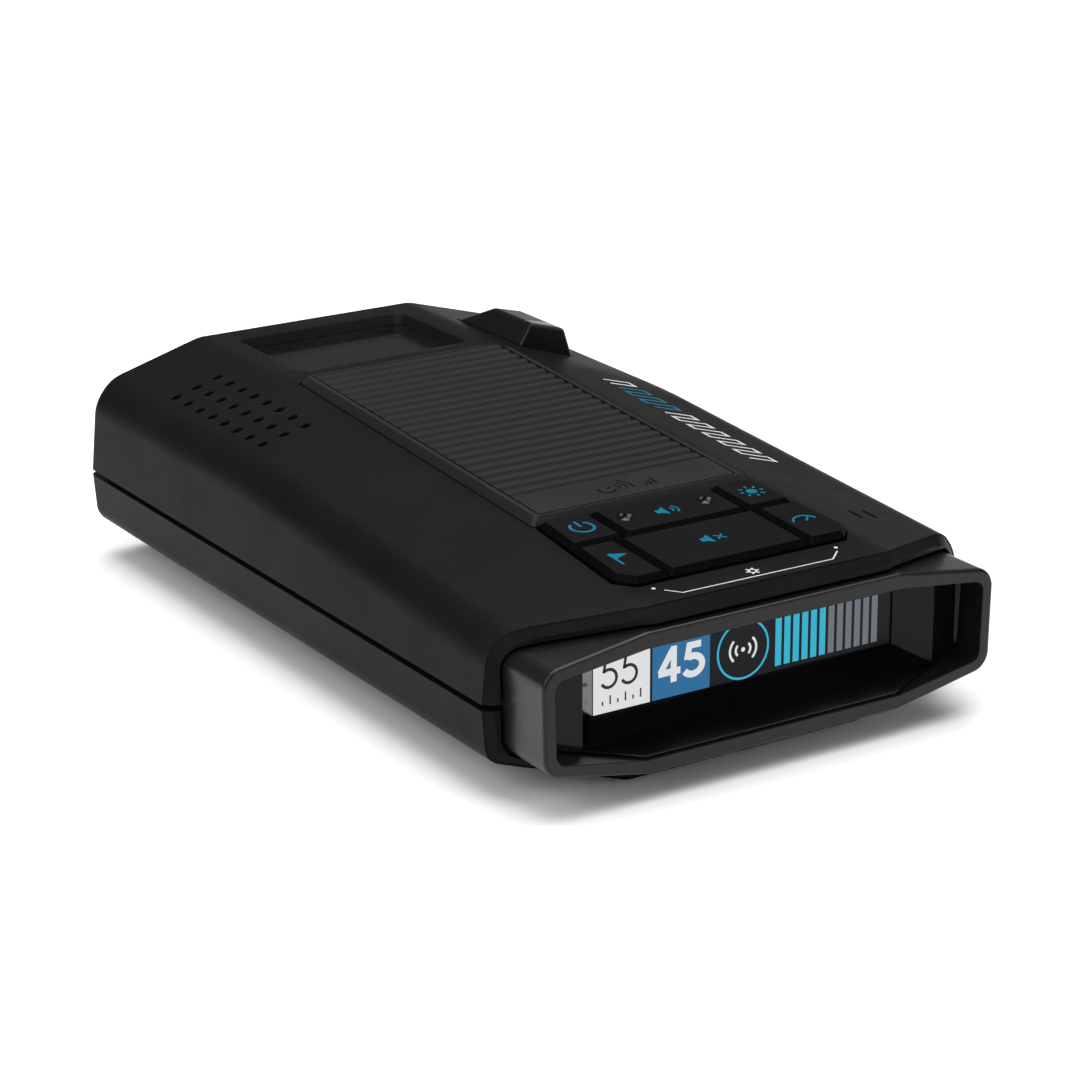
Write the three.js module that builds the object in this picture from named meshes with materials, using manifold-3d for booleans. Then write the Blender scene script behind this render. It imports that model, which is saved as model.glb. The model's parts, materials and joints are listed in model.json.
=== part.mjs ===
// Windscreen radar detector: a wedge-shaped plastic body that splits at a groove round its waist,
// a glossy hood round the display, a keypad on the front of the roof, a ribbed satellite-antenna
// panel behind it, a magnet mount socket at the far end of the roof and a small laser sensor turret.
// Lengths are in millimetres. Inside the root group, x = 0 is the middle plane, y = 0 the display
// end, y = LENGTH the antenna end, and z = 0 the surface that the base pad rests on.
import * as THREE from 'three';
import { mergeVertices } from 'three/addons/utils/BufferGeometryUtils.js';
import Module from 'manifold-3d';

// ---- driving dimensions ----
const LENGTH = 134.8;
const WAIST_HALF = 40.76;      // half width at the waist groove
const WAIST_Z = 14.3;
const GROOVE = 0.9;            // height of the waist groove
const ROOF_HALF = 20;          // half width of the flat middle of the roof
const ROOF_Z = 33.8;           // height of the roof's level rear stretch
const ROOF_BREAK_Y = 104;      // where the roof starts to fall towards the display
const ROOF_FALL = 0.0613;      // fall of the roof towards the display, per mm
const REAR_SLOPE = 0.2835;     // side fall of the roof over its level stretch
const FRONT_SLOPE = 0.185;     // side fall of the roof over its falling stretch
const SIDE_DRAFT = 0.097;      // lean of the sides above the waist
const SHOULDER_R = 6.5;
const SILL_HALF = 40.1;        // half width at the virtual lower corner
const SILL_Z = 6.2;
const SILL_R = 3.2;
const BELLY_SLOPE = 0.28;      // side rise of the underside
const BELLY_Z = 0.6;           // flat middle of the underside
const PAD_HALF = 17.4;         // base pad that stands proud of the underside
const PAD_NEAR = 8.7;
const PAD_FAR = 127;
const PAD_FLARE = 1.2;         // widening of the pad where it meets the underside
const WALL = 2;
const GAP = 0.3;               // clearance between neighbouring pieces
const CHAMFER = 1.3;           // flat chamfer round the display end
const FRONT_SIDE_Y = 10.3;     // where the display end's sweep reaches at the sides
const REAR_ROUND = 2.1;        // rounding of the antenna end where it meets the sides
const REAR_ROUND_TOP = 0.8;    // and where it meets the roof

const HOOD = {
  half: 38.1, top: 24.78, topKink: 21.2, corner: 22.2, sill: 7.3, foot: 4.15, depth: 8.8, r: 3,
};
const CHEEK = { from: 34.6, depth: 11.4 };   // the hood's sides reach further in than its roof
const HOOD_GAP = 0.5;          // gap between the hood and the body round it
const MOUTH = { half: 36.2, top: 22.4, topKink: 21.5, corner: 20.6, sill: 8.85, foot: 6.4, r: 1.6 };
const SCREEN = { half: 25.3, low: 11.3, high: 19.5, y: 7.5 };
const FUNNEL = { front: 0.45, side: 7.4, floor: 4.4, near: 0.2 };
const RIDGE = { x: 29.8, y: 3.2, valleyX: 34.9, valleyY: 4.6 };

const KEY_RISE = 1.2;          // key tops above the roof plane
const KEY_BEVEL = 0.8;
const KEY_THICK = 1.8;         // depth of a key below the roof plane
const KEY_REACH = 4.0;         // depth of the tip of a key's stem below the roof plane
const KEY_NEAR = 8.55;
const KEY_SPLIT = 22.4;
const KEY_FAR = 32.65;

const PANEL = { half: 18.7, near: 33.2, far: 102, rise: 1.35, sink: 0.8 };
const RIBS = { count: 22, pitch: 2.68, near: 42, half: 16.95, height: 0.45 };

const SOCKET = { half: 15.5, near: 107.4, far: 129.2, lip: 1.3, floor: 30.2 };
const TURRET = { left: 22.7, right: 31.6, near: 101.6, far: 122.4, split: 105.6 };
const BOSS_X = 33;
const BOSS_Y = [22, 123.4];

// ---- solids ----
const wasm = await Module();
wasm.setup();

function solid(geometry) {
  const bare = geometry.clone();
  bare.deleteAttribute('normal');
  bare.deleteAttribute('uv');
  const merged = mergeVertices(bare, 1e-4);
  const mesh = new wasm.Mesh({
    numProp: 3,
    vertProperties: new Float32Array(merged.attributes.position.array),
    triVerts: new Uint32Array(merged.index.array),
  });
  return new wasm.Manifold(mesh);
}

function geometryOf(body) {
  const mesh = body.getMesh();
  const geometry = new THREE.BufferGeometry();
  geometry.setAttribute('position', new THREE.BufferAttribute(new Float32Array(mesh.vertProperties), 3));
  geometry.setIndex(new THREE.BufferAttribute(new Uint32Array(mesh.triVerts), 1));
  geometry.computeVertexNormals();
  return geometry;
}

const cut = (body, ...tools) => tools.reduce((left, tool) => left.subtract(tool), body);
const join = (body, ...more) => more.reduce((left, piece) => left.add(piece), body);

function box(x0, x1, y0, y1, z0, z1) {
  const geometry = new THREE.BoxGeometry(x1 - x0, y1 - y0, z1 - z0);
  geometry.translate((x0 + x1) / 2, (y0 + y1) / 2, (z0 + z1) / 2);
  return solid(geometry);
}

// A disc or cone standing on z0, r0 at the bottom and r1 at the top.
function post(x, y, z0, z1, r0, r1 = r0, sides = 20) {
  const geometry = new THREE.CylinderGeometry(r1, r0, z1 - z0, sides);
  geometry.rotateX(Math.PI / 2);
  geometry.translate(x, y, (z0 + z1) / 2);
  return solid(geometry);
}

// Skin between closed rings of equal length. Each ring is a list of Vector3, and flat names the
// axis that the two end caps face.
function loft(rings, flat = 'y') {
  const count = rings[0].length;
  const points = rings.flat();
  const faces = [];
  for (let ring = 0; ring + 1 < rings.length; ring += 1) {
    for (let i = 0; i < count; i += 1) {
      const a = ring * count + i;
      const b = ring * count + ((i + 1) % count);
      faces.push([a, b, b + count], [a, b + count, a + count]);
    }
  }
  const [u, v] = { x: ['y', 'z'], y: ['z', 'x'], z: ['x', 'y'] }[flat];
  const addCap = (start, along) => {
    const outline = points.slice(start, start + count).map((p) => new THREE.Vector2(p[u], p[v]));
    const sense = Math.sign(THREE.ShapeUtils.area(outline)) * (along ? 1 : -1);
    THREE.ShapeUtils.triangulateShape(outline, []).forEach((face) => {
      const turn = Math.sign(THREE.ShapeUtils.area(face.map((i) => outline[i])));
      const ordered = turn === sense ? face : [...face].reverse();
      faces.push(ordered.map((i) => i + start));
    });
  };
  addCap(0, false);
  addCap((rings.length - 1) * count, true);
  const volume = faces.reduce((sum, [a, b, c]) => {
    return sum + points[a].dot(new THREE.Vector3().crossVectors(points[b], points[c]));
  }, 0);
  const outward = volume > 0 ? faces : faces.map((face) => [...face].reverse());
  const geometry = new THREE.BufferGeometry();
  const positions = points.flatMap((p) => [p.x, p.y, p.z]);
  geometry.setAttribute('position', new THREE.Float32BufferAttribute(positions, 3));
  geometry.setIndex(outward.flat());
  return solid(geometry);
}

// Corners [a, b, radius] of a convex outline, with an arc of fixed step count at each radius.
function roundCorners(corners, steps = 4) {
  return corners.flatMap(([a, b, radius = 0], index) => {
    const here = new THREE.Vector2(a, b);
    if (radius <= 0) {
      return [here];
    }
    const last = corners[(index + corners.length - 1) % corners.length];
    const next = corners[(index + 1) % corners.length];
    const back = new THREE.Vector2(last[0] - a, last[1] - b).normalize();
    const ahead = new THREE.Vector2(next[0] - a, next[1] - b).normalize();
    const half = Math.acos(THREE.MathUtils.clamp(back.dot(ahead), -1, 1)) / 2;
    const middle = back.clone().add(ahead).normalize().multiplyScalar(radius / Math.sin(half)).add(here);
    const start = here.clone().addScaledVector(back, radius / Math.tan(half)).sub(middle);
    const end = here.clone().addScaledVector(ahead, radius / Math.tan(half)).sub(middle);
    const sweep = Math.atan2(start.cross(end), start.dot(end));
    const arc = [];
    for (let i = 0; i <= steps; i += 1) {
      const turned = start.clone().rotateAround(new THREE.Vector2(0, 0), (sweep * i) / steps);
      arc.push(turned.add(middle));
    }
    return arc;
  });
}

// A right half outline, from the top middle to the bottom middle, made whole by its mirror image.
function mirrored(corners) {
  const left = corners.map(([x, z, r]) => [-x, z, r]).reverse();
  return [...corners, ...left];
}

// An outline in x and z swept along y, and one in x and y swept along z.
function alongY(outline, y0, y1) {
  return loft([y0, y1].map((y) => outline.map((p) => new THREE.Vector3(p.x, y, p.y))), 'y');
}

function alongZ(outline, ...levels) {
  return loft(levels.map((z) => outline.map((p) => new THREE.Vector3(p.x, p.y, z))), 'z');
}

// ---- body form ----
const roofAt = (y) => ROOF_Z - ROOF_FALL * Math.max(0, ROOF_BREAK_Y - y);
const smooth = (t) => t * t * (3 - 2 * t);

// Sweep of the display end in plan: the roof reaches further forward than the sides and the belly.
function frontY(x, z) {
  const side = THREE.MathUtils.clamp((Math.abs(x) - ROOF_HALF) / 18.5, 0, 1);
  const middle = z > WAIST_Z ? 1.2 : 6;
  return THREE.MathUtils.lerp(middle, FRONT_SIDE_Y, side);
}

// Cross-section of the body at station y, drawn inset by a wall thickness.
function sectionAt(y, inset = 0) {
  const roof = roofAt(y);
  const fall = ROOF_FALL * Math.max(0, ROOF_BREAK_Y - y);
  const breakX = THREE.MathUtils.clamp(ROOF_HALF + fall / (REAR_SLOPE - FRONT_SLOPE), ROOF_HALF + 0.4, 32);
  const roofSide = (x) => {
    return Math.min(ROOF_Z - REAR_SLOPE * (x - ROOF_HALF), roof - FRONT_SLOPE * (x - ROOF_HALF));
  };
  const outerSlope = y < 72 ? FRONT_SLOPE : REAR_SLOPE;
  const anchorX = 33;
  const anchorZ = roofSide(anchorX);
  const eaves = anchorZ + outerSlope * anchorX - WAIST_Z;
  const cornerX = (WAIST_HALF - SIDE_DRAFT * eaves) / (1 - SIDE_DRAFT * outerSlope);
  const cornerZ = anchorZ - outerSlope * (cornerX - anchorX);
  const bellyX = SILL_HALF - (SILL_Z - BELLY_Z) / BELLY_SLOPE;
  const right = [
    [ROOF_HALF, roof - inset],
    [breakX, roofSide(breakX) - inset],
    [cornerX - inset, cornerZ - inset, SHOULDER_R - inset],
    [WAIST_HALF - inset, WAIST_Z],
    [SILL_HALF - inset, SILL_Z + inset, SILL_R - Math.min(inset, 2)],
    [bellyX, BELLY_Z + inset],
  ];
  return roundCorners(mirrored(right));
}

// Body form between two stations. Every ring lies a distance behind the swept display end, and
// reaches its full distance along y by the time the sweep has died away. rearY gives where the form
// ends at a half width.
function form(inset, frontDepth, rearY) {
  const stations = [frontDepth, 6, 20, 38, 55, 72, 82, 92, 103.9, LENGTH];
  const fadeBy = 30;
  const rings = stations.map((station) => {
    const spread = 1 - smooth(THREE.MathUtils.clamp((station - frontDepth) / fadeBy, 0, 1));
    return sectionAt(station + 1.2, inset).map((p) => {
      const y = station + frontY(p.x, p.y) * spread + (1 - spread) * 1.2;
      return new THREE.Vector3(p.x, Math.min(y, rearY(p.x)), p.y);
    });
  });
  return rings;
}

// Radius of the rounding round the antenna end, at a half width.
function rearRound(x) {
  const share = smooth(THREE.MathUtils.clamp((Math.abs(x) - 34) / 5, 0, 1));
  return THREE.MathUtils.lerp(REAR_ROUND_TOP, REAR_ROUND, share);
}

// Outer skin with the chamfer round the display end and the rounding round the antenna end.
function outerForm() {
  const rings = form(0, CHAMFER, (x) => LENGTH - rearRound(x));
  const leads = [CHAMFER + 1.6, CHAMFER].map((inset) => {
    return sectionAt(1.2, inset).map((p) => new THREE.Vector3(p.x, frontY(p.x, p.y), p.y));
  });
  const full = sectionAt(LENGTH);
  const drawnIn = sectionAt(LENGTH, REAR_ROUND);
  const tail = [0.35, 0.7, 1].map((share) => {
    const angle = (share * Math.PI) / 2;
    return full.map((p, i) => {
      const radius = rearRound(p.x);
      const inner = p.clone().lerp(drawnIn[i], (radius / REAR_ROUND) * (1 - Math.cos(angle)));
      return new THREE.Vector3(inner.x, LENGTH - radius * (1 - Math.sin(angle)), inner.y);
    });
  });
  return loft([...leads, ...rings, ...tail], 'y');
}

const innerForm = (inset) => loft(form(inset, 2.6, () => LENGTH - inset), 'y');

// ---- hood outline ----
function hoodOutline(dims, grow = 0) {
  const right = [
    [dims.topKink, dims.top + grow],
    [dims.half + grow, dims.corner + grow * 0.9, dims.r + grow],
    [dims.half - 0.3 + grow, dims.sill - grow * 0.9, dims.r + grow],
    [dims.topKink, dims.foot - grow],
  ];
  return roundCorners(mirrored(right));
}

// ---- keypad outline, seen from above, symmetric about the middle plane ----
const keyEdge = (y) => 19.85 - (y - 11.2) * 0.072;

function keyOutline(name) {
  const near = KEY_NEAR;
  const far = KEY_FAR;
  const rowGap = GAP / 2;
  const top = KEY_SPLIT + rowGap;
  const low = KEY_SPLIT - rowGap;
  const outlines = {
    power: [[-keyEdge(far), far], [-10.1, far], [-10.1, top], [-keyEdge(top), top]],
    volume: [[-9.8, far], [10.85, far], [10.85, top], [-9.8, top]],
    brightness: [[11.15, far], [keyEdge(far), far], [keyEdge(top), top], [11.15, top]],
    mark: [[-keyEdge(low), low], [-12.3, low], [-12.3, near], [-17.7, near], [-keyEdge(11.2), 11.2]],
    mute: [[-12, low], [11.4, low], [11.4, near], [-12, near]],
    sensitivity: [[11.7, low], [keyEdge(low), low], [keyEdge(11.2), 11.2], [17.7, near], [11.7, near]],
  };
  return outlines[name].map(([x, y]) => new THREE.Vector2(x, y));
}

// An outline moved inwards by a distance, for outlines whose corners are all convex.
function insetOutline(outline, distance) {
  const turn = Math.sign(THREE.ShapeUtils.area(outline));
  const count = outline.length;
  return outline.map((p, i) => {
    const last = outline[(i + count - 1) % count];
    const next = outline[(i + 1) % count];
    const inA = new THREE.Vector2(last.y - p.y, p.x - last.x).normalize().multiplyScalar(turn);
    const inB = new THREE.Vector2(p.y - next.y, next.x - p.x).normalize().multiplyScalar(turn);
    const bisector = inA.clone().add(inB).normalize();
    return p.clone().addScaledVector(bisector, distance / bisector.dot(inA));
  });
}

const deckAngle = Math.atan(ROOF_FALL);
const deckSpot = new THREE.Vector3(0, 0, ROOF_Z - ROOF_FALL * ROOF_BREAK_Y);
const deckMatrix = new THREE.Matrix4().makeRotationX(deckAngle).setPosition(deckSpot);
const slopeAngle = Math.atan(REAR_SLOPE);

// A solid drawn on the falling roof plane, moved to where that plane lies.
const onDeck = (body) => body.transform(deckMatrix.elements);

function padOutline() {
  const far = KEY_FAR + GAP;
  const near = KEY_NEAR - GAP;
  const corners = [[-keyEdge(far) - GAP, far], [keyEdge(far) + GAP, far], [keyEdge(11.2) + GAP, 11.1],
    [17.85, near], [-17.85, near], [-keyEdge(11.2) - GAP, 11.1]];
  return corners.map(([x, y]) => new THREE.Vector2(x, y));
}

function panelOutline(grow = 0) {
  const { half, near, far } = PANEL;
  const corners = [[-half - grow, near - grow, 0.6], [half + grow, near - grow, 0.6],
    [half + grow, far + grow, 4], [-half - grow, far + grow, 1]];
  return roundCorners(corners, 3);
}

// ---- shells ----
const bossSpots = BOSS_Y.flatMap((y) => [[-BOSS_X, y], [BOSS_X, y]]);

function holeGrid() {
  const tools = [];
  for (let column = 0; column < 8; column += 1) {
    for (let row = 0; row < 3; row += 1) {
      const x = -25.65 - row * 3.73;
      const y = 87.3 + column * 4.19;
      const z = ROOF_Z - REAR_SLOPE * (-x - ROOF_HALF);
      const hole = post(0, 0, -5, 1, 0.85, 0.85, 10);
      const lean = new THREE.Matrix4().makeRotationY(-slopeAngle).setPosition(x, y, z);
      tools.push(hole.transform(lean.elements));
    }
  }
  return tools;
}

function socketCut() {
  const { half, near, far, lip } = SOCKET;
  const ring = (inset, z) => {
    const corners = [[-half + inset, near + inset, 1], [half - inset, near + inset, 1],
      [half - inset, far - inset, 1], [-half + inset, far - inset, 1]];
    return roundCorners(corners, 2).map((p) => new THREE.Vector3(p.x, p.y, z));
  };
  const mouth = loft([ring(0.9, ROOF_Z - lip - 3), ring(0.9, ROOF_Z - lip), ring(0, ROOF_Z + 0.01),
    ring(0, ROOF_Z + 3)], 'z');
  const pocket = loft([ring(0.2, ROOF_Z - 5), ring(0.2, ROOF_Z - lip - 0.35)], 'z');
  return [mouth, pocket];
}

function turretForm(grow = 0) {
  const { left, right, near, far } = TURRET;
  const slopeZ = (x) => ROOF_Z - REAR_SLOPE * (x - ROOF_HALF);
  const sink = 1.6;
  const at = (x, y, rise) => new THREE.Vector3(x, y, slopeZ(x) + rise);
  const base = (rise) => [at(left - grow, near + 1.1 - grow, rise), at(right + grow, near - 1.1 - grow, rise),
    at(right + grow, far + grow, rise), at(left - grow, far + grow, rise)];
  const crown = [at(24.8 - grow, near + 0.75 - grow, 4.25), at(30.3 + grow, near - 0.75 - grow, 4.4),
    at(30.3 + grow, 114.2 + grow, 4.4), at(24.8 - grow, 114.2 + grow, 4.25)];
  return { skin: loft([base(-sink), base(0), crown], 'z'), footing: loft([base(-6), base(2)], 'z') };
}

const hoodTunnel = () => join(
  alongY(hoodOutline(HOOD, HOOD_GAP), -5, CHEEK.depth + 0.35),
  alongY(hoodOutline(HOOD, -0.5), CHEEK.depth, 20),
);

const sideY = { power: 63, audio: 76, usb: 88 };
const sideZ = 19.8;

function socketOpenings(grow) {
  const x0 = 30;
  const x1 = 45;
  const halfWidths = { power: 5.2, usb: 4.3 };
  const halfHeights = { power: 3.4, usb: 1.9 };
  const holes = ['power', 'usb'].map((name) => box(
    x0, x1,
    sideY[name] - halfWidths[name] - grow, sideY[name] + halfWidths[name] + grow,
    sideZ - halfHeights[name] - grow, sideZ + halfHeights[name] + grow,
  ));
  const round = post(0, 0, x0, x1, 3 + grow, 3 + grow, 20);
  const across = new THREE.Matrix4().makeRotationY(Math.PI / 2).setPosition(0, sideY.audio, sideZ);
  return [...holes, round.transform(across.elements)];
}

function topShell() {
  const cavity = innerForm(WALL);
  let body = cut(outerForm(), cavity);
  const bosses = bossSpots.map(([x, y]) => {
    return post(x, y, WAIST_Z + GROOVE / 2, 30, 2.9, 3.1, 16).intersect(innerForm(WALL - 0.3));
  });
  body = join(body, ...bosses);
  body = body.intersect(box(-60, 60, -10, LENGTH + 10, WAIST_Z + GROOVE / 2, 60));
  const keypad = onDeck(alongZ(padOutline(), -8, 6));
  const panelSeat = onDeck(alongZ(panelOutline(GAP), -PANEL.sink - GAP, 6));
  const slots = [27.1, 29.6].map((x) => box(x - 0.28, x + 0.28, 16.6, 19.8, 15, 40));
  const pilots = bossSpots.map(([x, y]) => post(x, y, 0, 24, 1.2, 1.2, 12));
  const lens = box(-28.2, -14.8, 126, 140, 16.8, 26.2);
  return cut(body, hoodTunnel(), keypad, panelSeat, ...slots, ...holeGrid(), ...socketCut(),
    turretForm(GAP).footing, ...socketOpenings(GAP), ...pilots, lens);
}

// Outline of the base pad in plan, a half width wide and up to a far edge.
function basePad(half, far) {
  return roundCorners([[-half, PAD_NEAR, 1], [half, PAD_NEAR, 1], [half, far, 3], [-half, far, 3]], 3);
}

function bottomShell() {
  const seam = WAIST_Z - GROOVE / 2;
  let body = cut(outerForm(), innerForm(WALL));
  const columns = bossSpots.map(([x, y]) => post(x, y, 0, seam - 0.4, 3.6, 3, 16).intersect(outerForm()));
  body = join(body, ...columns).intersect(box(-60, 60, -10, LENGTH + 10, -5, seam));
  const lipRoot = cut(innerForm(WALL - 0.2), innerForm(3.3)).intersect(box(-60, 60, 16, LENGTH, 10, seam));
  const lip = cut(innerForm(WALL + 0.3), innerForm(3.3)).intersect(box(-60, 60, 16, LENGTH, 10, seam + 2.2));
  const pad = loft([
    basePad(PAD_HALF, PAD_FAR),
    basePad(PAD_HALF + PAD_FLARE, PAD_FAR + PAD_FLARE),
  ].map((ring, level) => ring.map((p) => new THREE.Vector3(p.x, p.y, level * (BELLY_Z + 0.3)))), 'z');
  const label = box(-14, 14, 44, 92, -1, 0.7);
  const heads = bossSpots.map(([x, y]) => post(x, y, -5, 7.4, 2.5, 2.5, 20));
  const shanks = bossSpots.map(([x, y]) => post(x, y, 0, 20, 1.4, 1.4, 12));
  const lipGaps = bossSpots.map(([x, y]) => post(x, y, seam - 0.4, 20, 3.5, 3.5, 16));
  return cut(join(body, lipRoot, lip, pad), hoodTunnel(), label, ...heads, ...shanks, ...lipGaps);
}

// ---- display end ----
function displayHood() {
  const outer = [[0, 0.48], [0.25, 0.16], [0.62, 0], [CHEEK.depth, 0]];
  const skin = loft(outer.map(([y, inset]) => {
    return hoodOutline(HOOD, -inset).map((p) => new THREE.Vector3(p.x, y, p.y));
  }), 'y');
  const bore = loft([[-1, 0.1], [0.3, 0], [5.4, -0.35], [12, -0.35]].map(([y, grow]) => {
    return hoodOutline(MOUTH, grow).map((p) => new THREE.Vector3(p.x, y, p.y));
  }), 'y');
  const tongues = [-1, 1].map((side) => {
    const x = side * 36.35;
    return box(x - 0.5, x + 0.5, 8.3, 14, 10, 19);
  });
  const shell = cut(skin, bore, box(-CHEEK.from, CHEEK.from, HOOD.depth, 20, -10, 60));
  return join(shell, ...tongues);
}

// Funnel round the display: a flat floor and sloping sides that rise to a ridge, with a valley
// between each ridge and the side of the hood.
function displayBezel() {
  const { half, low, high } = SCREEN;
  const block = loft([[FUNNEL.front, -0.2], [5.4, -0.35 - GAP], [7.35, -0.35 - GAP]].map(([y, grow]) => {
    return hoodOutline(MOUTH, grow).map((p) => new THREE.Vector3(p.x, y, p.y));
  }), 'y');
  const funnelRing = (side, floor, y) => {
    const reach = half + side;
    const levels = [high + floor, low - floor];
    const corners = [[reach, levels[0]], [reach, levels[1]], [-reach, levels[1]], [-reach, levels[0]]];
    return corners.map(([x, z]) => new THREE.Vector3(x, y, z));
  };
  const { front, side, floor, near } = FUNNEL;
  const overrun = 1.5;
  const wider = (grow) => near + ((grow - near) * (SCREEN.y - front + overrun)) / (SCREEN.y - front);
  const funnel = loft([funnelRing(wider(side), wider(floor), front - overrun),
    funnelRing(near, near, SCREEN.y), funnelRing(near, near, 9)], 'y');
  const valleys = [-1, 1].map((hand) => {
    const plan = [[16.97, -1], [RIDGE.x, RIDGE.y], [RIDGE.valleyX, RIDGE.valleyY], [37.2, 3.7], [37.2, -1]];
    return alongZ(plan.map(([x, y]) => new THREE.Vector2(hand * x, y)), -2, 40);
  });
  return cut(block, funnel, ...valleys);
}

const displayWindow = () => box(-27.5, 27.5, 7.65, 8.25, SCREEN.low - 1.6, SCREEN.high + 0.9);
const oledPanel = () => box(-28.5, 28.5, 8.6, 10.2, SCREEN.low - 2.4, SCREEN.high + 0.6);

function displayBoard() {
  const plate = box(-33, 33, 11.05, 12.1, 7.7, 19.8);
  const notch = [-1, 1].map((side) => post(side * 31, 0, -1, 1, 1.1, 1.1, 14));
  const turn = new THREE.Matrix4().makeRotationX(Math.PI / 2).setPosition(0, 11.6, 17.8);
  return cut(plate, ...notch.map((hole) => hole.transform(turn.elements)));
}

// Flat cable folded from the display board down on to the main board.
function displayFlex() {
  const route = [[12.4, 9], [14.6, 9], [16.2, 10], [17.6, 12], [19, 13], [24, 13]];
  const under = [...route].reverse().map(([y, z]) => [y, z - 0.35]);
  const ring = (x) => [...route, ...under].map(([y, z]) => new THREE.Vector3(x, y, z));
  return loft([ring(-9), ring(9)], 'x');
}

// ---- keypad ----
const stems = {
  power: [[-14.4, 27.6]],
  volume: [[-6.9, 27.6], [7.9, 27.6]],
  brightness: [[14.9, 27.6]],
  mark: [[-15.9, 15.6]],
  mute: [[-0.3, 15.6]],
  sensitivity: [[15.5, 15.6]],
};

function key(name) {
  const base = keyOutline(name);
  const crown = insetOutline(base, KEY_BEVEL);
  const levels = [[base, -KEY_THICK], [base, KEY_RISE - KEY_BEVEL], [crown, KEY_RISE]];
  const cap = loft(levels.map(([ring, z]) => ring.map((p) => new THREE.Vector3(p.x, p.y, z))), 'z');
  const legs = stems[name].map(([x, y]) => {
    return box(x - 1.5, x + 1.5, y - 1.5, y + 1.5, -KEY_REACH, -KEY_THICK + 0.2);
  });
  const dimples = name === 'volume'
    ? [[-6.5, 28], [7.3, 28]].map(([x, y]) => post(x, y, KEY_RISE - 0.7, KEY_RISE + 0.3, 0.55, 1.35, 20))
    : [];
  return cut(join(cap, ...legs), ...dimples);
}

function keypadFrame() {
  const plate = box(-22, 22, 9.8, 36, -3.4, -2.6);
  const holes = Object.values(stems).flat().map(([x, y]) => box(x - 2.1, x + 2.1, y - 2.1, y + 2.1, -5, 0));
  return cut(plate, ...holes);
}

const keypadBoard = () => box(-21, 21, 10.7, 34, -7.8, -6.8);

function tactSwitch(x, y) {
  const can = box(x - 2.2, x + 2.2, y - 2.2, y + 2.2, -6.5, -4.95);
  return join(can, post(x, y, -5.2, -4.62, 1, 0.9, 14));
}

// ---- satellite antenna ----
function gpsPanel() {
  const { rise, sink } = PANEL;
  const tiers = [[0, -sink], [0, 0.15], [-1, rise]];
  const rings = tiers.map(([grow, z]) => panelOutline(grow).map((p) => new THREE.Vector3(p.x, p.y, z)));
  const bed = loft(rings, 'z');
  const { count, pitch, near, half, height } = RIBS;
  const well = [];
  for (let rib = 0; rib < count; rib += 1) {
    const y0 = near + rib * pitch;
    well.push([y0, rise - height], [y0 + pitch * 0.3, rise - height], [y0 + pitch * 0.5, rise - 0.08],
      [y0 + pitch * 0.8, rise - 0.08]);
  }
  const end = near + count * pitch;
  well.push([end, rise - height], [end, rise + 1], [near, rise + 1]);
  const ring = (x) => well.map(([y, z]) => new THREE.Vector3(x, y, z));
  return cut(bed, loft([ring(-half), ring(half)], 'x'));
}

const gpsPatchAntenna = () => join(
  box(-12.5, 12.5, 60, 85, -6.6, -2.6),
  post(0, 71, -6.8, -2.4, 0.7, 0.7, 12),
);
const gpsBoard = () => box(-17, 17, 55, 90, -8, -7);

// ---- radar and laser ----
function hornAntenna() {
  const ring = (y, x0, x1, z0, z1) => [[x0, z0], [x1, z0], [x1, z1], [x0, z1]].map(([x, z]) => {
    return new THREE.Vector3(x, y, z);
  });
  const skin = loft([ring(88, -1, 13, 9, 19), ring(100, -1, 13, 9, 19),
    ring(129.6, -12.3, 24.3, 4.7, 23.6)], 'y');
  const flare = loft([ring(92, 2.5, 9.5, 12.4, 15.6), ring(100, 2.5, 9.5, 12.4, 15.6),
    ring(130, -10.7, 22.7, 6.2, 21.8)], 'y');
  const fins = [3, 9].map((x) => box(x - 0.6, x + 0.6, 90, 99, 18.8, 20.6));
  return cut(join(skin, ...fins), flare);
}

const mixerBoard = () => box(-20, -13.4, 92, 124, 8, 9.2);

// Lens plug in the antenna end, with a flange inside the wall, and the sensor behind it.
const frontLens = () => join(
  box(-27.9, -15.1, LENGTH - 2.6, LENGTH - 0.4, 17.1, 25.9),
  box(-29.2, -13.9, LENGTH - 3.6, LENGTH - 2.3, 16.2, 26.8),
);
const frontSensor = () => join(
  box(-27, -16, LENGTH - 8.4, LENGTH - 7.2, 16.8, 26),
  box(-24, -19, LENGTH - 7.4, LENGTH - 5.2, 19, 24),
);

function turretPieces() {
  const { skin } = turretForm();
  const { split } = TURRET;
  const hollow = turretForm(-1.5).skin;
  const lowered = hollow.transform(new THREE.Matrix4().makeTranslation(0, 0, -1.6).elements);
  const shellOf = cut(skin, lowered);
  const front = shellOf.intersect(box(0, 60, 80, split - GAP / 2, 0, 60));
  const back = shellOf.intersect(box(0, 60, split + GAP / 2, 140, 0, 60));
  return { window: front, cover: back };
}

const turretSensor = () => join(
  box(25.6, 28.6, 107.4, 110.6, 29.2, 31.8),
  box(24.8, 29.6, 106.6, 112, 27.6, 29.5),
);

// ---- speaker, drawn flat and then laid under the left slope ----
function stadium(half, radius, steps = 10) {
  const points = [];
  [1, -1].forEach((end) => {
    for (let i = 0; i <= steps; i += 1) {
      const angle = (Math.PI * i) / steps + (end > 0 ? 0 : Math.PI);
      points.push(new THREE.Vector2(radius * Math.cos(angle), end * half + radius * Math.sin(angle)));
    }
  });
  return points;
}

const ringAt = (half, radius, z) => stadium(half, radius).map((p) => new THREE.Vector3(p.x, p.y, z));

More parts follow.
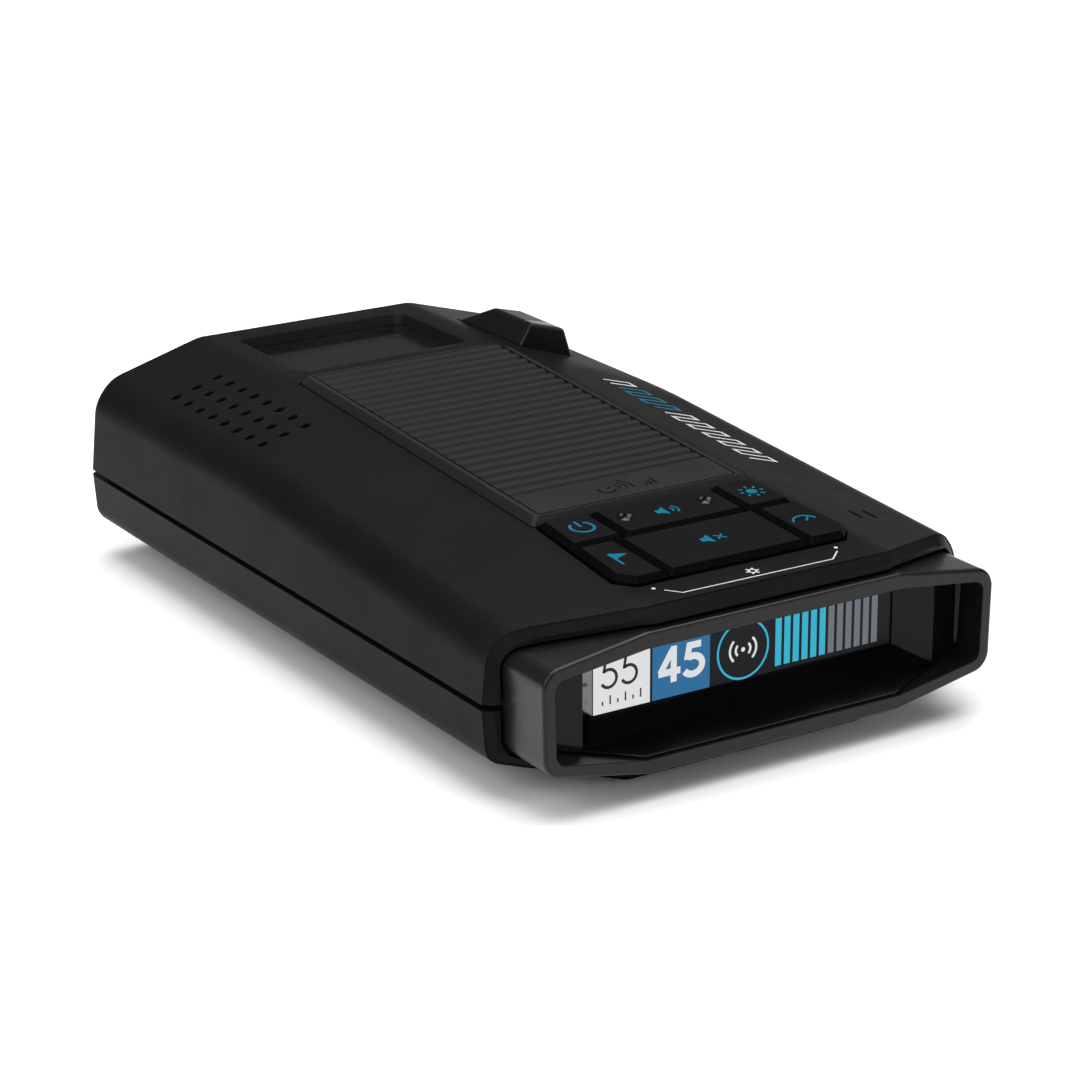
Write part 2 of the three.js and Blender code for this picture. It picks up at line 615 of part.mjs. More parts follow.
function speakerBasket() {
  const skin = loft([ringAt(6, 3.6, -5.2), ringAt(8.6, 6.4, -1), ringAt(8.6, 7, -1), ringAt(8.6, 7, 0)], 'z');
  const hole = loft([ringAt(6, 2.6, -5.5), ringAt(6, 2.6, -4.4), ringAt(8.6, 5.7, -0.9),
    ringAt(8.6, 5.7, 0.5)], 'z');
  return cut(skin, hole);
}

const speakerCone = () => cut(
  loft([ringAt(6, 1.9, -4.1), ringAt(8.6, 5.2, -0.7), ringAt(8.6, 5.2, -0.1)], 'z'),
  loft([ringAt(6, 1.2, -3.6), ringAt(8.6, 4.6, -0.2), ringAt(8.6, 4.6, 0.2)], 'z'),
);
const speakerMagnet = () => post(0, 0, -8.6, -5.5, 4.2, 4.2, 24);
const speakerGasket = () => cut(
  loft([ringAt(8.6, 7, 0.3), ringAt(8.6, 7, 0.9)], 'z'),
  loft([ringAt(8.6, 5.8, 0), ringAt(8.6, 5.8, 1.2)], 'z'),
);

// ---- mount socket ----
function mountTray() {
  const { half, near, far, lip, floor } = SOCKET;
  const top = ROOF_Z - lip - 0.35 - GAP;
  const outline = (inset) => [[-half + inset, near + inset, 1.2], [half - inset, near + inset, 1.2],
    [half - inset, far - inset, 1.2], [-half + inset, far - inset, 1.2]];
  const block = alongZ(roundCorners(outline(0.2 + GAP), 2), floor - 1.2, top);
  const well = alongZ(roundCorners(outline(1.1), 2), floor, top + 1);
  return cut(block, well);
}

// ---- boards and connectors ----
function mainBoard() {
  const plate = box(-28, 28, 25, 84, 10.6, 11.8);
  const nose = box(-12, 12, 20, 26, 10.6, 11.8);
  const chips = [[-12, 40, 9, 9], [8, 44, 6, 12], [-8, 66, 12, 7], [14, 70, 5, 5]];
  const cases = chips.map(([x, y, w, d]) => box(x - w / 2, x + w / 2, y - d / 2, y + d / 2, 11.6, 12.7));
  return join(plate, nose, ...cases);
}

const shieldCan = () => cut(box(-5, 12, 52, 62, 12.1, 15.4), box(-4.6, 11.6, 52.4, 61.6, 11, 15));

function powerJack() {
  const shell = box(29.5, 39.2, sideY.power - 5.2, sideY.power + 5.2, sideZ - 3.4, sideZ + 3.4);
  const mouth = box(31.5, 41, sideY.power - 4, sideY.power + 4, sideZ - 2.3, sideZ + 2.3);
  const keyway = box(31.5, 41, sideY.power - 1.6, sideY.power + 1.6, sideZ - 3.4 + 0.6, sideZ);
  return cut(shell, mouth, keyway);
}

function audioJack() {
  const body = box(28.5, 36.4, sideY.audio - 3.6, sideY.audio + 3.6, sideZ - 3, sideZ + 3);
  const across = new THREE.Matrix4().makeRotationY(Math.PI / 2).setPosition(0, sideY.audio, sideZ);
  const barrel = post(0, 0, 36, 39, 3, 3, 24).transform(across.elements);
  const bore = post(0, 0, 30, 42, 1.8, 1.8, 20).transform(across.elements);
  return cut(join(body, barrel), bore);
}

function usbPort() {
  const y = sideY.usb;
  const shell = box(32, 39.2, y - 4.3, y + 4.3, sideZ - 1.9, sideZ + 1.9);
  const mouth = box(33, 41, y - 3.8, y + 3.8, sideZ - 1.4, sideZ + 1.4);
  const tongue = box(32.5, 38.4, y - 2.6, y + 2.6, sideZ - 0.3, sideZ + 0.5);
  return join(cut(shell, mouth), tongue);
}

const sideBoard = () => box(25, 36.8, 56, 93, 13.4, 14.6);

function housingScrew(x, y) {
  const shank = post(x, y, 6.9, 22, 0.9, 0.75, 12);
  const head = post(x, y, 5.2, 7.1, 2.1, 2.1, 20);
  const cross = [
    box(x - 1.3, x + 1.3, y - 0.3, y + 0.3, 4, 6),
    box(x - 0.3, x + 0.3, y - 1.3, y + 1.3, 4, 6),
  ];
  return cut(join(shank, head), ...cross);
}

// ---- finishes ----
const finish = (color, roughness, metalness = 0) => {
  return new THREE.MeshStandardMaterial({ color, roughness, metalness });
};
const finishes = {
  shell: finish(0x1c1c1e, 0.55),
  key: finish(0x202022, 0.5),
  gloss: finish(0x060607, 0.12),
  glass: finish(0x04050a, 0.05),
  screen: finish(0x05070a, 0.2),
  darkWindow: finish(0x08060a, 0.12),
  board: finish(0x14502c, 0.5),
  ceramic: finish(0xb9a98a, 0.6),
  switchSteel: finish(0xb8b8bc, 0.35, 1),
  zinc: finish(0x8d9094, 0.45, 1),
  steel: finish(0x9a9ca0, 0.4, 1),
  magnet: finish(0x6f7276, 0.3, 1),
  rubber: finish(0x101011, 0.85),
  paper: finish(0x1a1a1a, 0.9),
  cable: finish(0xc9a45a, 0.5),
  label: finish(0xc4c6c8, 0.5, 0.3),
};

const detector = new THREE.Group();
detector.position.y = -LENGTH / 2;

const deck = new THREE.Group();
deck.position.copy(deckSpot);
deck.rotation.x = deckAngle;
detector.add(deck);

const speaker = new THREE.Group();
speaker.position.set(-28.8, 102, ROOF_Z - REAR_SLOPE * (28.8 - ROOF_HALF) - 4.5);
speaker.rotation.y = -slopeAngle;
detector.add(speaker);

function place(name, body, material, parent = detector) {
  const mesh = new THREE.Mesh(geometryOf(body), finishes[material]);
  mesh.name = name;
  parent.add(mesh);
}

place('top_shell', topShell(), 'shell');
place('bottom_shell', bottomShell(), 'shell');
place('display_hood', displayHood(), 'gloss');
place('display_bezel', displayBezel(), 'gloss');
place('display_window', displayWindow(), 'glass');
place('oled_panel', oledPanel(), 'screen');
place('display_board', displayBoard(), 'board');
place('display_flex', displayFlex(), 'cable');

const keyNames = {
  power: 'power_button',
  volume: 'volume_rocker',
  brightness: 'brightness_button',
  mark: 'mark_button',
  mute: 'mute_button',
  sensitivity: 'sensitivity_button',
};
Object.entries(keyNames).forEach(([name, node]) => place(node, key(name), 'key', deck));
place('keypad_frame', keypadFrame(), 'shell', deck);
place('keypad_board', keypadBoard(), 'board', deck);
Object.entries(stems).forEach(([name, spots]) => {
  spots.forEach(([x, y], index) => {
    const ending = spots.length > 1 ? ['_minus', '_plus'][index] : '';
    place(`switch_${name}${ending}`, tactSwitch(x, y), 'switchSteel', deck);
  });
});

place('gps_panel', gpsPanel(), 'shell', deck);
place('gps_patch_antenna', gpsPatchAntenna(), 'ceramic', deck);
place('gps_board', gpsBoard(), 'board', deck);

place('horn_antenna', hornAntenna(), 'zinc');
place('mixer_board', mixerBoard(), 'board');
place('front_laser_lens', frontLens(), 'darkWindow');
place('front_laser_sensor', frontSensor(), 'board');
const turret = turretPieces();
place('rear_laser_cover', turret.cover, 'shell');
place('rear_laser_window', turret.window, 'darkWindow');
place('rear_laser_sensor', turretSensor(), 'board');

place('speaker_basket', speakerBasket(), 'steel', speaker);
place('speaker_cone', speakerCone(), 'paper', speaker);
place('speaker_magnet', speakerMagnet(), 'magnet', speaker);
place('speaker_gasket', speakerGasket(), 'rubber', speaker);

place('mount_tray', mountTray(), 'shell');
[[-8, 112.8], [8, 112.8], [-8, 123.6], [8, 123.6]].forEach(([x, y], index) => {
  place(`mount_magnet_${index + 1}`, post(x, y, 25.6, 28.6, 3.6, 3.6, 24), 'magnet');
});

place('main_board', mainBoard(), 'board');
place('shield_can', shieldCan(), 'zinc');
place('side_board', sideBoard(), 'board');
place('power_jack', powerJack(), 'shell');
place('audio_jack', audioJack(), 'shell');
place('usb_port', usbPort(), 'zinc');
place('backup_capacitor', post(-20, 74, 12.1, 17.6, 4, 4, 24), 'steel');
bossSpots.forEach(([x, y], index) => place(`housing_screw_${index + 1}`, housingScrew(x, y), 'steel'));
place('rating_label', box(-13.7, 13.7, 44.3, 91.7, 0.2, 0.4), 'label');

export default detector;
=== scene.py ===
"""Looks of the radar detector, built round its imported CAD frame.

Outlines are worked out in millimetres, measured as in the CAD: x from the middle plane, y from the
display end and z up from the surface that the base pad rests on. place() turns them into metres in
the frame. Every shell, key and trim piece is rebuilt finer than its CAD solid and replaces it.
"""
import json
import math

import bmesh
import bpy
from mathutils import Matrix, Vector


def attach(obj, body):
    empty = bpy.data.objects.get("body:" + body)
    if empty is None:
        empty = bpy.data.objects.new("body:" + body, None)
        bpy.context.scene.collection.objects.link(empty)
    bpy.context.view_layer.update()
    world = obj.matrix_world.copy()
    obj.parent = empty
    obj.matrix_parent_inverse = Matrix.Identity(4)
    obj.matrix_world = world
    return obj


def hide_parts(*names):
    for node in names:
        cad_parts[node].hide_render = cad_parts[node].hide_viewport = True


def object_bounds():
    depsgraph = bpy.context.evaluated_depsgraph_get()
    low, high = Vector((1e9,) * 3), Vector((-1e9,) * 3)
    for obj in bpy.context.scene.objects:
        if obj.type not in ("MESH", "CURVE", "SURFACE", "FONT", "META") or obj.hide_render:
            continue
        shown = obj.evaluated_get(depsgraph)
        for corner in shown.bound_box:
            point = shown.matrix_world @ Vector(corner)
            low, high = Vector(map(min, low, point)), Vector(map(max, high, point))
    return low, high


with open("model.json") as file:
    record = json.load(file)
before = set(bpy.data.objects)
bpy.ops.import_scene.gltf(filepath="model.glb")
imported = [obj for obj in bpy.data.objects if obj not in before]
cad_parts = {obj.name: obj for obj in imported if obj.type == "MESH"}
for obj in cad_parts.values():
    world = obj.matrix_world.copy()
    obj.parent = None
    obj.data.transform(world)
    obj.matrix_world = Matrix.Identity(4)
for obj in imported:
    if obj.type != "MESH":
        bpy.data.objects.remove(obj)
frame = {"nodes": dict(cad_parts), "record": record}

CAD_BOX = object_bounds()
MM = 0.001
WELD = 0.0005                 # points nearer than this are one point

# ---- driving dimensions, in millimetres ----
LENGTH = (CAD_BOX[1].y - CAD_BOX[0].y) / MM
WAIST_HALF = CAD_BOX[1].x / MM
WAIST_Z = 14.3
GROOVE = 0.9
ROOF_HALF = 20
ROOF_Z = 33.8
ROOF_BREAK_Y = 104
ROOF_FALL = 0.0613
REAR_SLOPE = 0.2835
FRONT_SLOPE = 0.185
SIDE_DRAFT = 0.097
SHOULDER_R = 6.5
SILL_HALF = 40.1
SILL_Z = 6.2
SILL_R = 3.2
BELLY_SLOPE = 0.28
BELLY_Z = 0.6
PAD_HALF = 17.4
PAD_NEAR = 8.7
PAD_FAR = 127
PAD_FLARE = 1.2
WALL = 2
GAP = 0.3
CHAMFER = 1.3
FRONT_SIDE_Y = 10.3
REAR_ROUND = 2.1
REAR_ROUND_TOP = 0.8
CREASE = 0.3                  # softness of the creases between roof facets
FRONT_TOP_Y = 1.2             # how far back the display end starts above the waist
FRONT_BELLY_Y = 6             # and below it
FRONT_SWEEP = 18.5            # half width over which the display end sweeps back to its sides
SWEEP_FADE = 30               # length over which that sweep dies away
SLOPE_EDGE = 34.2             # half width where the straight side slope meets the shoulder
SLOPE_PROBE = 1.2             # stretch over which the slope's fall is measured
SLOPE_RUN = 4.2               # stretch of slope that leads into the shoulder's arc
BELLY_R = 5
SILL_R_LEAST = 0.8
MID_Y = 60                    # a station well clear of both ends
REAR_ROUND_FROM = 34          # half width where the rear rounding starts to grow
REAR_ROUND_REACH = 5
TAIL_STEPS = 6

HOOD = {"half": 38.1, "top": 24.78, "kink": 21.2, "corner": 22.2, "sill": 7.3, "foot": 4.15, "r": 3}
MOUTH = {"half": 36.2, "top": 22.4, "kink": 21.5, "corner": 20.6, "sill": 8.85, "foot": 6.4, "r": 1.6}
HOOD_DEPTH = 8.8
CHEEK = {"from": 34.6, "depth": 11.4}
HOOD_GAP = 0.5
SCREEN = {"half": 25.3, "low": 11.3, "high": 19.5, "y": 7.5}
SCREEN_FACE = 7.62
FUNNEL = {"front": 0.45, "side": 7.4, "floor": 4.4, "near": 0.2}
RIDGE = {"x": 29.8, "y": 3.2, "valley_x": 34.9, "valley_y": 4.6}

KEY_RISE = 1.2
KEY_BEVEL = 0.8
KEY_THICK = 1.8
KEY_REACH = 4.0
KEY_NEAR = 8.55
KEY_FAR = 32.65
KEY_CORNER = 11.2             # where the slanted near corners of the keypad end
KEY_SIDE = 19.85
KEY_TAPER = 0.072
NEAR_ROW = 22.25              # far edge of the near row
FAR_ROW = 22.55               # near edge of the far row
CORNER_HALF = 17.7

PANEL = {"half": 18.7, "near": 33.2, "far": 102, "rise": 1.35, "sink": 0.8}
RIBS = {"count": 22, "pitch": 2.68, "near": 42, "height": 0.45}
SOCKET = {"half": 15.5, "near": 107.4, "far": 129.2, "lip": 1.3, "floor": 30.2}
TURRET = {"left": 22.7, "right": 31.6, "near": 101.6, "far": 122.4, "split": 105.6}
SCREWS = [(x, y) for y in (22, 123.4) for x in (-33, 33)]
SCREW_R = {"thread": 1.2, "shank": 1.4, "head": 2.5, "boss": 3, "post": 3.3, "seat": 3.5}
SIDE_Z = 19.8
SIDE_Y = {"power": 63, "audio": 76, "usb": 88}
SIDE_HALVES = {"power": (5.2, 3.4), "usb": (4.3, 1.9)}
AUDIO_R = 3
HOLES = {"rows": 3, "columns": 8, "x": -25.65, "y": 87.3, "row_pitch": 3.73, "column_pitch": 4.19}
MIC_SLOTS = (27.1, 29.6)
LENS_OPENING = (-28.2, -14.8, LENGTH - 7, LENGTH + 7, 16.8, 26.2)
LABEL_RECESS = (-14, 14, 44, 92, -1, 0.7)
DECK_ANGLE = math.atan(ROOF_FALL)
DECK_Z = ROOF_Z - ROOF_FALL * ROOF_BREAK_Y
SLOPE_ANGLE = math.atan(REAR_SLOPE)


def place(x, y, z):
    """A point in the frame, in metres."""
    return Vector((x * MM, CAD_BOX[0].y + y * MM, z * MM))


def on_deck(x, v, w):
    """A point at v along the falling roof plane and w above it, in millimetres."""
    return (x, v * math.cos(DECK_ANGLE) - w * math.sin(DECK_ANGLE),
            DECK_Z + v * math.sin(DECK_ANGLE) + w * math.cos(DECK_ANGLE))


def new_object(name, data):
    obj = bpy.data.objects.new(name, data)
    bpy.context.scene.collection.objects.link(obj)
    return obj


# ---- camera ----
VIEW_AZIMUTH = math.radians(-32.32)
VIEW_ELEVATION = math.radians(19.25)
VIEW_ROLL = math.radians(-0.25)
VIEW_DISTANCE = 505.6
VIEW_LENS = 109.88
VIEW_TARGET = (2.32, 64.53, 14.45)


def make_camera():
    camera = new_object("camera", bpy.data.cameras.new("camera"))
    camera.data.sensor_width = 36
    camera.data.lens = VIEW_LENS
    camera.data.clip_start = 0.01
    camera.data.clip_end = 50
    back = Vector((math.sin(VIEW_AZIMUTH) * math.cos(VIEW_ELEVATION),
                   -math.cos(VIEW_AZIMUTH) * math.cos(VIEW_ELEVATION), math.sin(VIEW_ELEVATION)))
    turn = (-back).to_track_quat("-Z", "Y").to_matrix() @ Matrix.Rotation(VIEW_ROLL, 3, "Z")
    stand = place(*VIEW_TARGET) + back * VIEW_DISTANCE * MM
    camera.matrix_world = Matrix.Translation(stand) @ turn.to_4x4()
    bpy.context.scene.camera = camera


make_camera()


# ---- mesh helpers ----
def welded(mesh, distance):
    """mesh with its doubled points joined, pinholes closed and faces turned outwards."""
    bm = bmesh.new()
    bm.from_mesh(mesh)
    bmesh.ops.remove_doubles(bm, verts=bm.verts, dist=distance * MM)
    bmesh.ops.holes_fill(bm, edges=[edge for edge in bm.edges if edge.is_boundary], sides=4)
    bmesh.ops.recalc_face_normals(bm, faces=bm.faces)
    bm.to_mesh(mesh)
    bm.free()
    return mesh


def mesh_from(points, faces):
    mesh = bpy.data.meshes.new("part")
    mesh.from_pydata([place(*p) for p in points], [], faces)
    return welded(mesh, WELD)


def loft(rings):
    """A closed skin between rings of equal length, each a list of (x, y, z)."""
    count = len(rings[0])
    points = [p for ring in rings for p in ring]
    faces = []
    for level in range(len(rings) - 1):
        for i in range(count):
            a = level * count + i
            b = level * count + (i + 1) % count
            faces.append((a, b, b + count, a + count))
    faces.append(tuple(range(count)))
    faces.append(tuple(range(len(points) - count, len(points))))
    return mesh_from(points, faces)


def box(x0, x1, y0, y1, z0, z1):
    rings = [[(x0, y0, z), (x1, y0, z), (x1, y1, z), (x0, y1, z)] for z in (z0, z1)]
    return loft(rings)


def slab(y0=-20, y1=LENGTH + 20, z0=-20, z1=60):
    """A block wider than the body, between two stations and two heights."""
    return box(-60, 60, y0, y1, z0, z1)


def disc_rings(levels, sides):
    """Circles of radius r at height z, for levels of (z, r), round the origin."""
    turns = [2 * math.pi * i / sides for i in range(sides)]
    return [[(r * math.cos(a), r * math.sin(a), z) for a in turns] for z, r in levels]


def moved(rings, shift):
    return [[shift(*p) for p in ring] for ring in rings]


def merged(*meshes):
    bm = bmesh.new()
    for mesh in meshes:
        bm.from_mesh(mesh)
    mesh = bpy.data.meshes.new("merged")
    bm.to_mesh(mesh)
    bm.free()
    return mesh


def combine(mesh, others, operation="DIFFERENCE"):
    """mesh cut by, joined to or crossed with each of the others in turn."""
    body = new_object("working_body", mesh)
    helpers = []
    for other in others:
        helper = new_object("working_tool", other)
        helpers.append(helper)
        step = body.modifiers.new("step", "BOOLEAN")
        step.operation = operation
        step.solver = "EXACT"
        step.object = helper
    result = evaluated_mesh(body)
    for helper in [*helpers, body]:
        bpy.data.objects.remove(helper)
    return welded(result, 2 * WELD)


def evaluated_mesh(obj):
    graph = bpy.context.evaluated_depsgraph_get()
    graph.update()
    return bpy.data.meshes.new_from_object(obj.evaluated_get(graph))


def softened(mesh, width, angle):
    """mesh with its edges rounded by a bevel of that width, in millimetres."""
    obj = new_object("working_body", mesh)
    bevel = obj.modifiers.new("edges", "BEVEL")
    bevel.width = width * MM
    bevel.segments = 3
    bevel.limit_method = "ANGLE"
    bevel.angle_limit = math.radians(angle)
    bevel.miter_outer = "MITER_ARC"
    result = evaluated_mesh(obj)
    bpy.data.objects.remove(obj)
    return result


def piece(name, mesh, body, material, stands_for=(), sharp=32):
    """A finished piece that rides on a body, with shading smoothed up to an angle."""
    mesh.name = name
    mesh.materials.clear()
    mesh.materials.append(material)
    mesh.polygons.foreach_set("use_smooth", [True] * len(mesh.polygons))
    mesh.set_sharp_from_angle(angle=math.radians(sharp))
    obj = new_object(name, mesh)
    shading = obj.modifiers.new("shading", "WEIGHTED_NORMAL")
    shading.keep_sharp = True
    shading.weight = 80
    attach(obj, body)
    if stands_for:
        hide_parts(*stands_for)
    return obj


# ---- outlines ----
def round_corners(corners, steps):
    """Corners (a, b, radius) of a convex outline, with an arc of fixed step count at each radius."""
    outline = []
    for i, (a, b, radius) in enumerate(corners):
        here = Vector((a, b))
        if radius <= 0:
            outline.append(here)
            continue
        back = (Vector(corners[i - 1][:2]) - here).normalized()
        ahead = (Vector(corners[(i + 1) % len(corners)][:2]) - here).normalized()
        half = back.angle(ahead) / 2
        middle = here + (back + ahead).normalized() * (radius / math.sin(half))
        start = here + back * (radius / math.tan(half)) - middle
        end = here + ahead * (radius / math.tan(half)) - middle
        sweep = math.atan2(start.x * end.y - start.y * end.x, start.dot(end))
        for k in range(steps + 1):
            outline.append(middle + Matrix.Rotation(sweep * k / steps, 2) @ start)
    return [(p.x, p.y) for p in outline]


def rectangle(half, near, far, near_radius, far_radius, steps=6):
    """A rectangle centred on the middle plane, with rounded corners."""
    return round_corners([(-half, near, near_radius), (half, near, near_radius),
                          (half, far, far_radius), (-half, far, far_radius)], steps)


def mirrored(right):
    return right + [(-x, z, r) for x, z, r in reversed(right)]


def inset_outline(outline, distance):
    """A convex outline moved inwards."""
    area = sum(a[0] * b[1] - b[0] * a[1] for a, b in zip(outline, outline[1:] + outline[:1]))
    turn = 1 if area > 0 else -1
    result = []
    for i, point in enumerate(outline):
        here = Vector(point)
        last = Vector(outline[i - 1])
        following = Vector(outline[(i + 1) % len(outline)])
        normal_a = Vector((last.y - here.y, here.x - last.x)).normalized() * turn
        normal_b = Vector((here.y - following.y, following.x - here.x)).normalized() * turn
        bisector = (normal_a + normal_b).normalized()
        result.append(tuple(here + bisector * (distance / bisector.dot(normal_a))))
    return result


def rounded_inset(outline, distance, radius):
    return round_corners([(x, y, radius) for x, y in inset_outline(outline, distance)], 5)


# ---- body form ----
def soft_min(a, b):
    """The smaller of two heights, with the crease between them rounded off."""
    return min(a, b) - max(CREASE - abs(a - b), 0) ** 2 / (4 * CREASE)


def eased(t):
    """t held between 0 and 1, with a soft start and a soft end."""
    t = min(max(t, 0), 1)
    return t * t * (3 - 2 * t)


def roof_at(x, y):
    """Height of the faceted roof."""
    side = abs(x) - ROOF_HALF
    fall = ROOF_Z - ROOF_FALL * (ROOF_BREAK_Y - y)
    level = soft_min(ROOF_Z, fall)
    slopes = soft_min(ROOF_Z - REAR_SLOPE * side, fall - FRONT_SLOPE * side)
    return soft_min(level, slopes)


def front_at(x, z):
    """Sweep of the display end in plan."""
    side = min(max((abs(x) - ROOF_HALF) / FRONT_SWEEP, 0), 1)
    middle = FRONT_TOP_Y if z > WAIST_Z else FRONT_BELLY_Y
    return middle + (FRONT_SIDE_Y - middle) * side


TOP_XS = [0, 8, 15, 17, 18, 18.7, 19.3, 19.8, 20.3, 20.9, 21.6, 22.5, 24, 26, 28, 30, 32, SLOPE_EDGE]
SHOULDER_STEPS = 12
SILL_STEPS = 8


def shoulder_arc(y, inset):
    """Points of the shoulder rounding, from the roof's side slope to the side wall."""
    anchor = roof_at(SLOPE_EDGE, y)
    slope = (roof_at(SLOPE_EDGE - SLOPE_PROBE, y) - anchor) / SLOPE_PROBE
    reach = WAIST_HALF - SIDE_DRAFT * (anchor + slope * SLOPE_EDGE - WAIST_Z)
    corner_x = reach / (1 - SIDE_DRAFT * slope)
    corner_z = anchor - slope * (corner_x - SLOPE_EDGE)
    ends = [(SLOPE_EDGE - SLOPE_RUN, anchor + slope * SLOPE_RUN, 0), (corner_x, corner_z, SHOULDER_R),
            (WAIST_HALF, WAIST_Z, 0)]
    arc = round_corners(ends, SHOULDER_STEPS)[1:-1]
    if inset:
        middle = circle_middle(arc)
        arc = [(x + (middle.x - x) * inset / SHOULDER_R, z + (middle.y - z) * inset / SHOULDER_R)
               for x, z in arc]
    return arc


def circle_middle(arc):
    """Centre of the circle through an arc's first, middle and last points."""
    (ax, ay), (bx, by), (cx, cy) = arc[0], arc[len(arc) // 2], arc[-1]
    d = 2 * (ax * (by - cy) + bx * (cy - ay) + cx * (ay - by))
    a2, b2, c2 = ax * ax + ay * ay, bx * bx + by * by, cx * cx + cy * cy
    return Vector(((a2 * (by - cy) + b2 * (cy - ay) + c2 * (ay - by)) / d,
                   (a2 * (cx - bx) + b2 * (ax - cx) + c2 * (bx - ax)) / d))


def lower_outline(inset):
    """Right half of the section below the waist, down to the middle of the underside."""
    belly_x = SILL_HALF - (SILL_Z - BELLY_Z) / BELLY_SLOPE
    sill_r = max(SILL_R - inset, SILL_R_LEAST)
    corners = [(WAIST_HALF - inset, WAIST_Z, 0), (SILL_HALF - inset, SILL_Z + inset, sill_r),
               (belly_x, BELLY_Z + inset, BELLY_R), (0, BELLY_Z + inset, 0)]
    return round_corners(corners, SILL_STEPS)


def right_section(y_of, inset):
    """Right half of a cross-section, each point with its own y."""
    points = []
    for x in TOP_XS:
        y = y_of(x, ROOF_Z)
        points.append((x, y, roof_at(x, y) - inset))
    for i in range(SHOULDER_STEPS + 1):
        x_near = shoulder_arc(MID_Y, inset)[i][0]
        y = y_of(x_near, ROOF_Z)
        x, z = shoulder_arc(y, inset)[i]
        points.append((x, y, z))
    for x, z in lower_outline(inset):
        points.append((x, y_of(x, min(z, WAIST_Z)), z))
    return points


def whole_ring(right):
    left = [(-x, y, z) for x, y, z in reversed(right)]
    return right + [p for p in left if abs(p[0]) > 1e-9]


def front_ring(depth, inset):
    """Ring that lies depth behind the swept display end; the sweep dies away towards the rear."""
    spread = 1 - eased(depth / SWEEP_FADE)

    def y_of(x, z):
        return depth + FRONT_TOP_Y + (front_at(x, z) - FRONT_TOP_Y) * spread

    return whole_ring(right_section(y_of, inset))


def flat_ring(y, inset):
    return whole_ring(right_section(lambda x, z: y, inset))


def rear_round(x):
    """Radius of the rounding round the antenna end, at a half width."""
    growth = eased((abs(x) - REAR_ROUND_FROM) / REAR_ROUND_REACH)
    return REAR_ROUND_TOP + (REAR_ROUND - REAR_ROUND_TOP) * growth


def tail_ring(turn):
    """Ring on the rounding of the antenna end, turn radians round it."""
    ring = []
    for full, drawn_in in zip(flat_ring(LENGTH, 0), flat_ring(LENGTH, REAR_ROUND)):
        radius = rear_round(full[0])
        inner = Vector(full).lerp(Vector(drawn_in), radius / REAR_ROUND * (1 - math.cos(turn)))
        ring.append((inner.x, LENGTH - radius * (1 - math.sin(turn)), inner.z))
    return ring


STATIONS = [1.08, 4, 7, 10, 14, 18, 22, 26, 30, 36, 44, 52, 60, 64, 68, 70, 72, 74, 76, 80, 84, 88, 92, 96,
            99, 101, 102, 103, 104, 105, 106.5, 110, 120]


def outer_form():
    """The whole body as one solid, bevelled at the display end and rounded at the antenna end."""
    rings = [front_ring(0, CHAMFER + 1.6), front_ring(0, CHAMFER + 0.06), front_ring(0.03, CHAMFER - 0.04),
             front_ring(CHAMFER - 0.1, 0.08)]
    rings += [front_ring(depth, 0) for depth in STATIONS]
    return loft(rings + [tail_ring(step / TAIL_STEPS * math.pi / 2) for step in range(TAIL_STEPS + 1)])


def inner_form(inset):
    """The body's form drawn in by a wall, for hollows and for what lines them."""
    rings = [front_ring(depth, inset) for depth in (2.6, 8, 16, 24, 32, 60, 72, 84, 96, 104, 112)]
    return loft(rings + [flat_ring(LENGTH - inset, inset)])


def hood_outline(dims, grow):
    """Eight-sided outline of the hood or of its mouth, grown outwards."""
    radius = dims["r"] + grow
    right = [(dims["kink"], dims["top"] + grow, 2),
             (dims["half"] + grow, dims["corner"] + grow * 0.9, radius),
             (dims["half"] - 0.3 + grow, dims["sill"] - grow * 0.9, radius),
             (dims["kink"], dims["foot"] - grow, 2)]
    return round_corners(mirrored(right), 10)


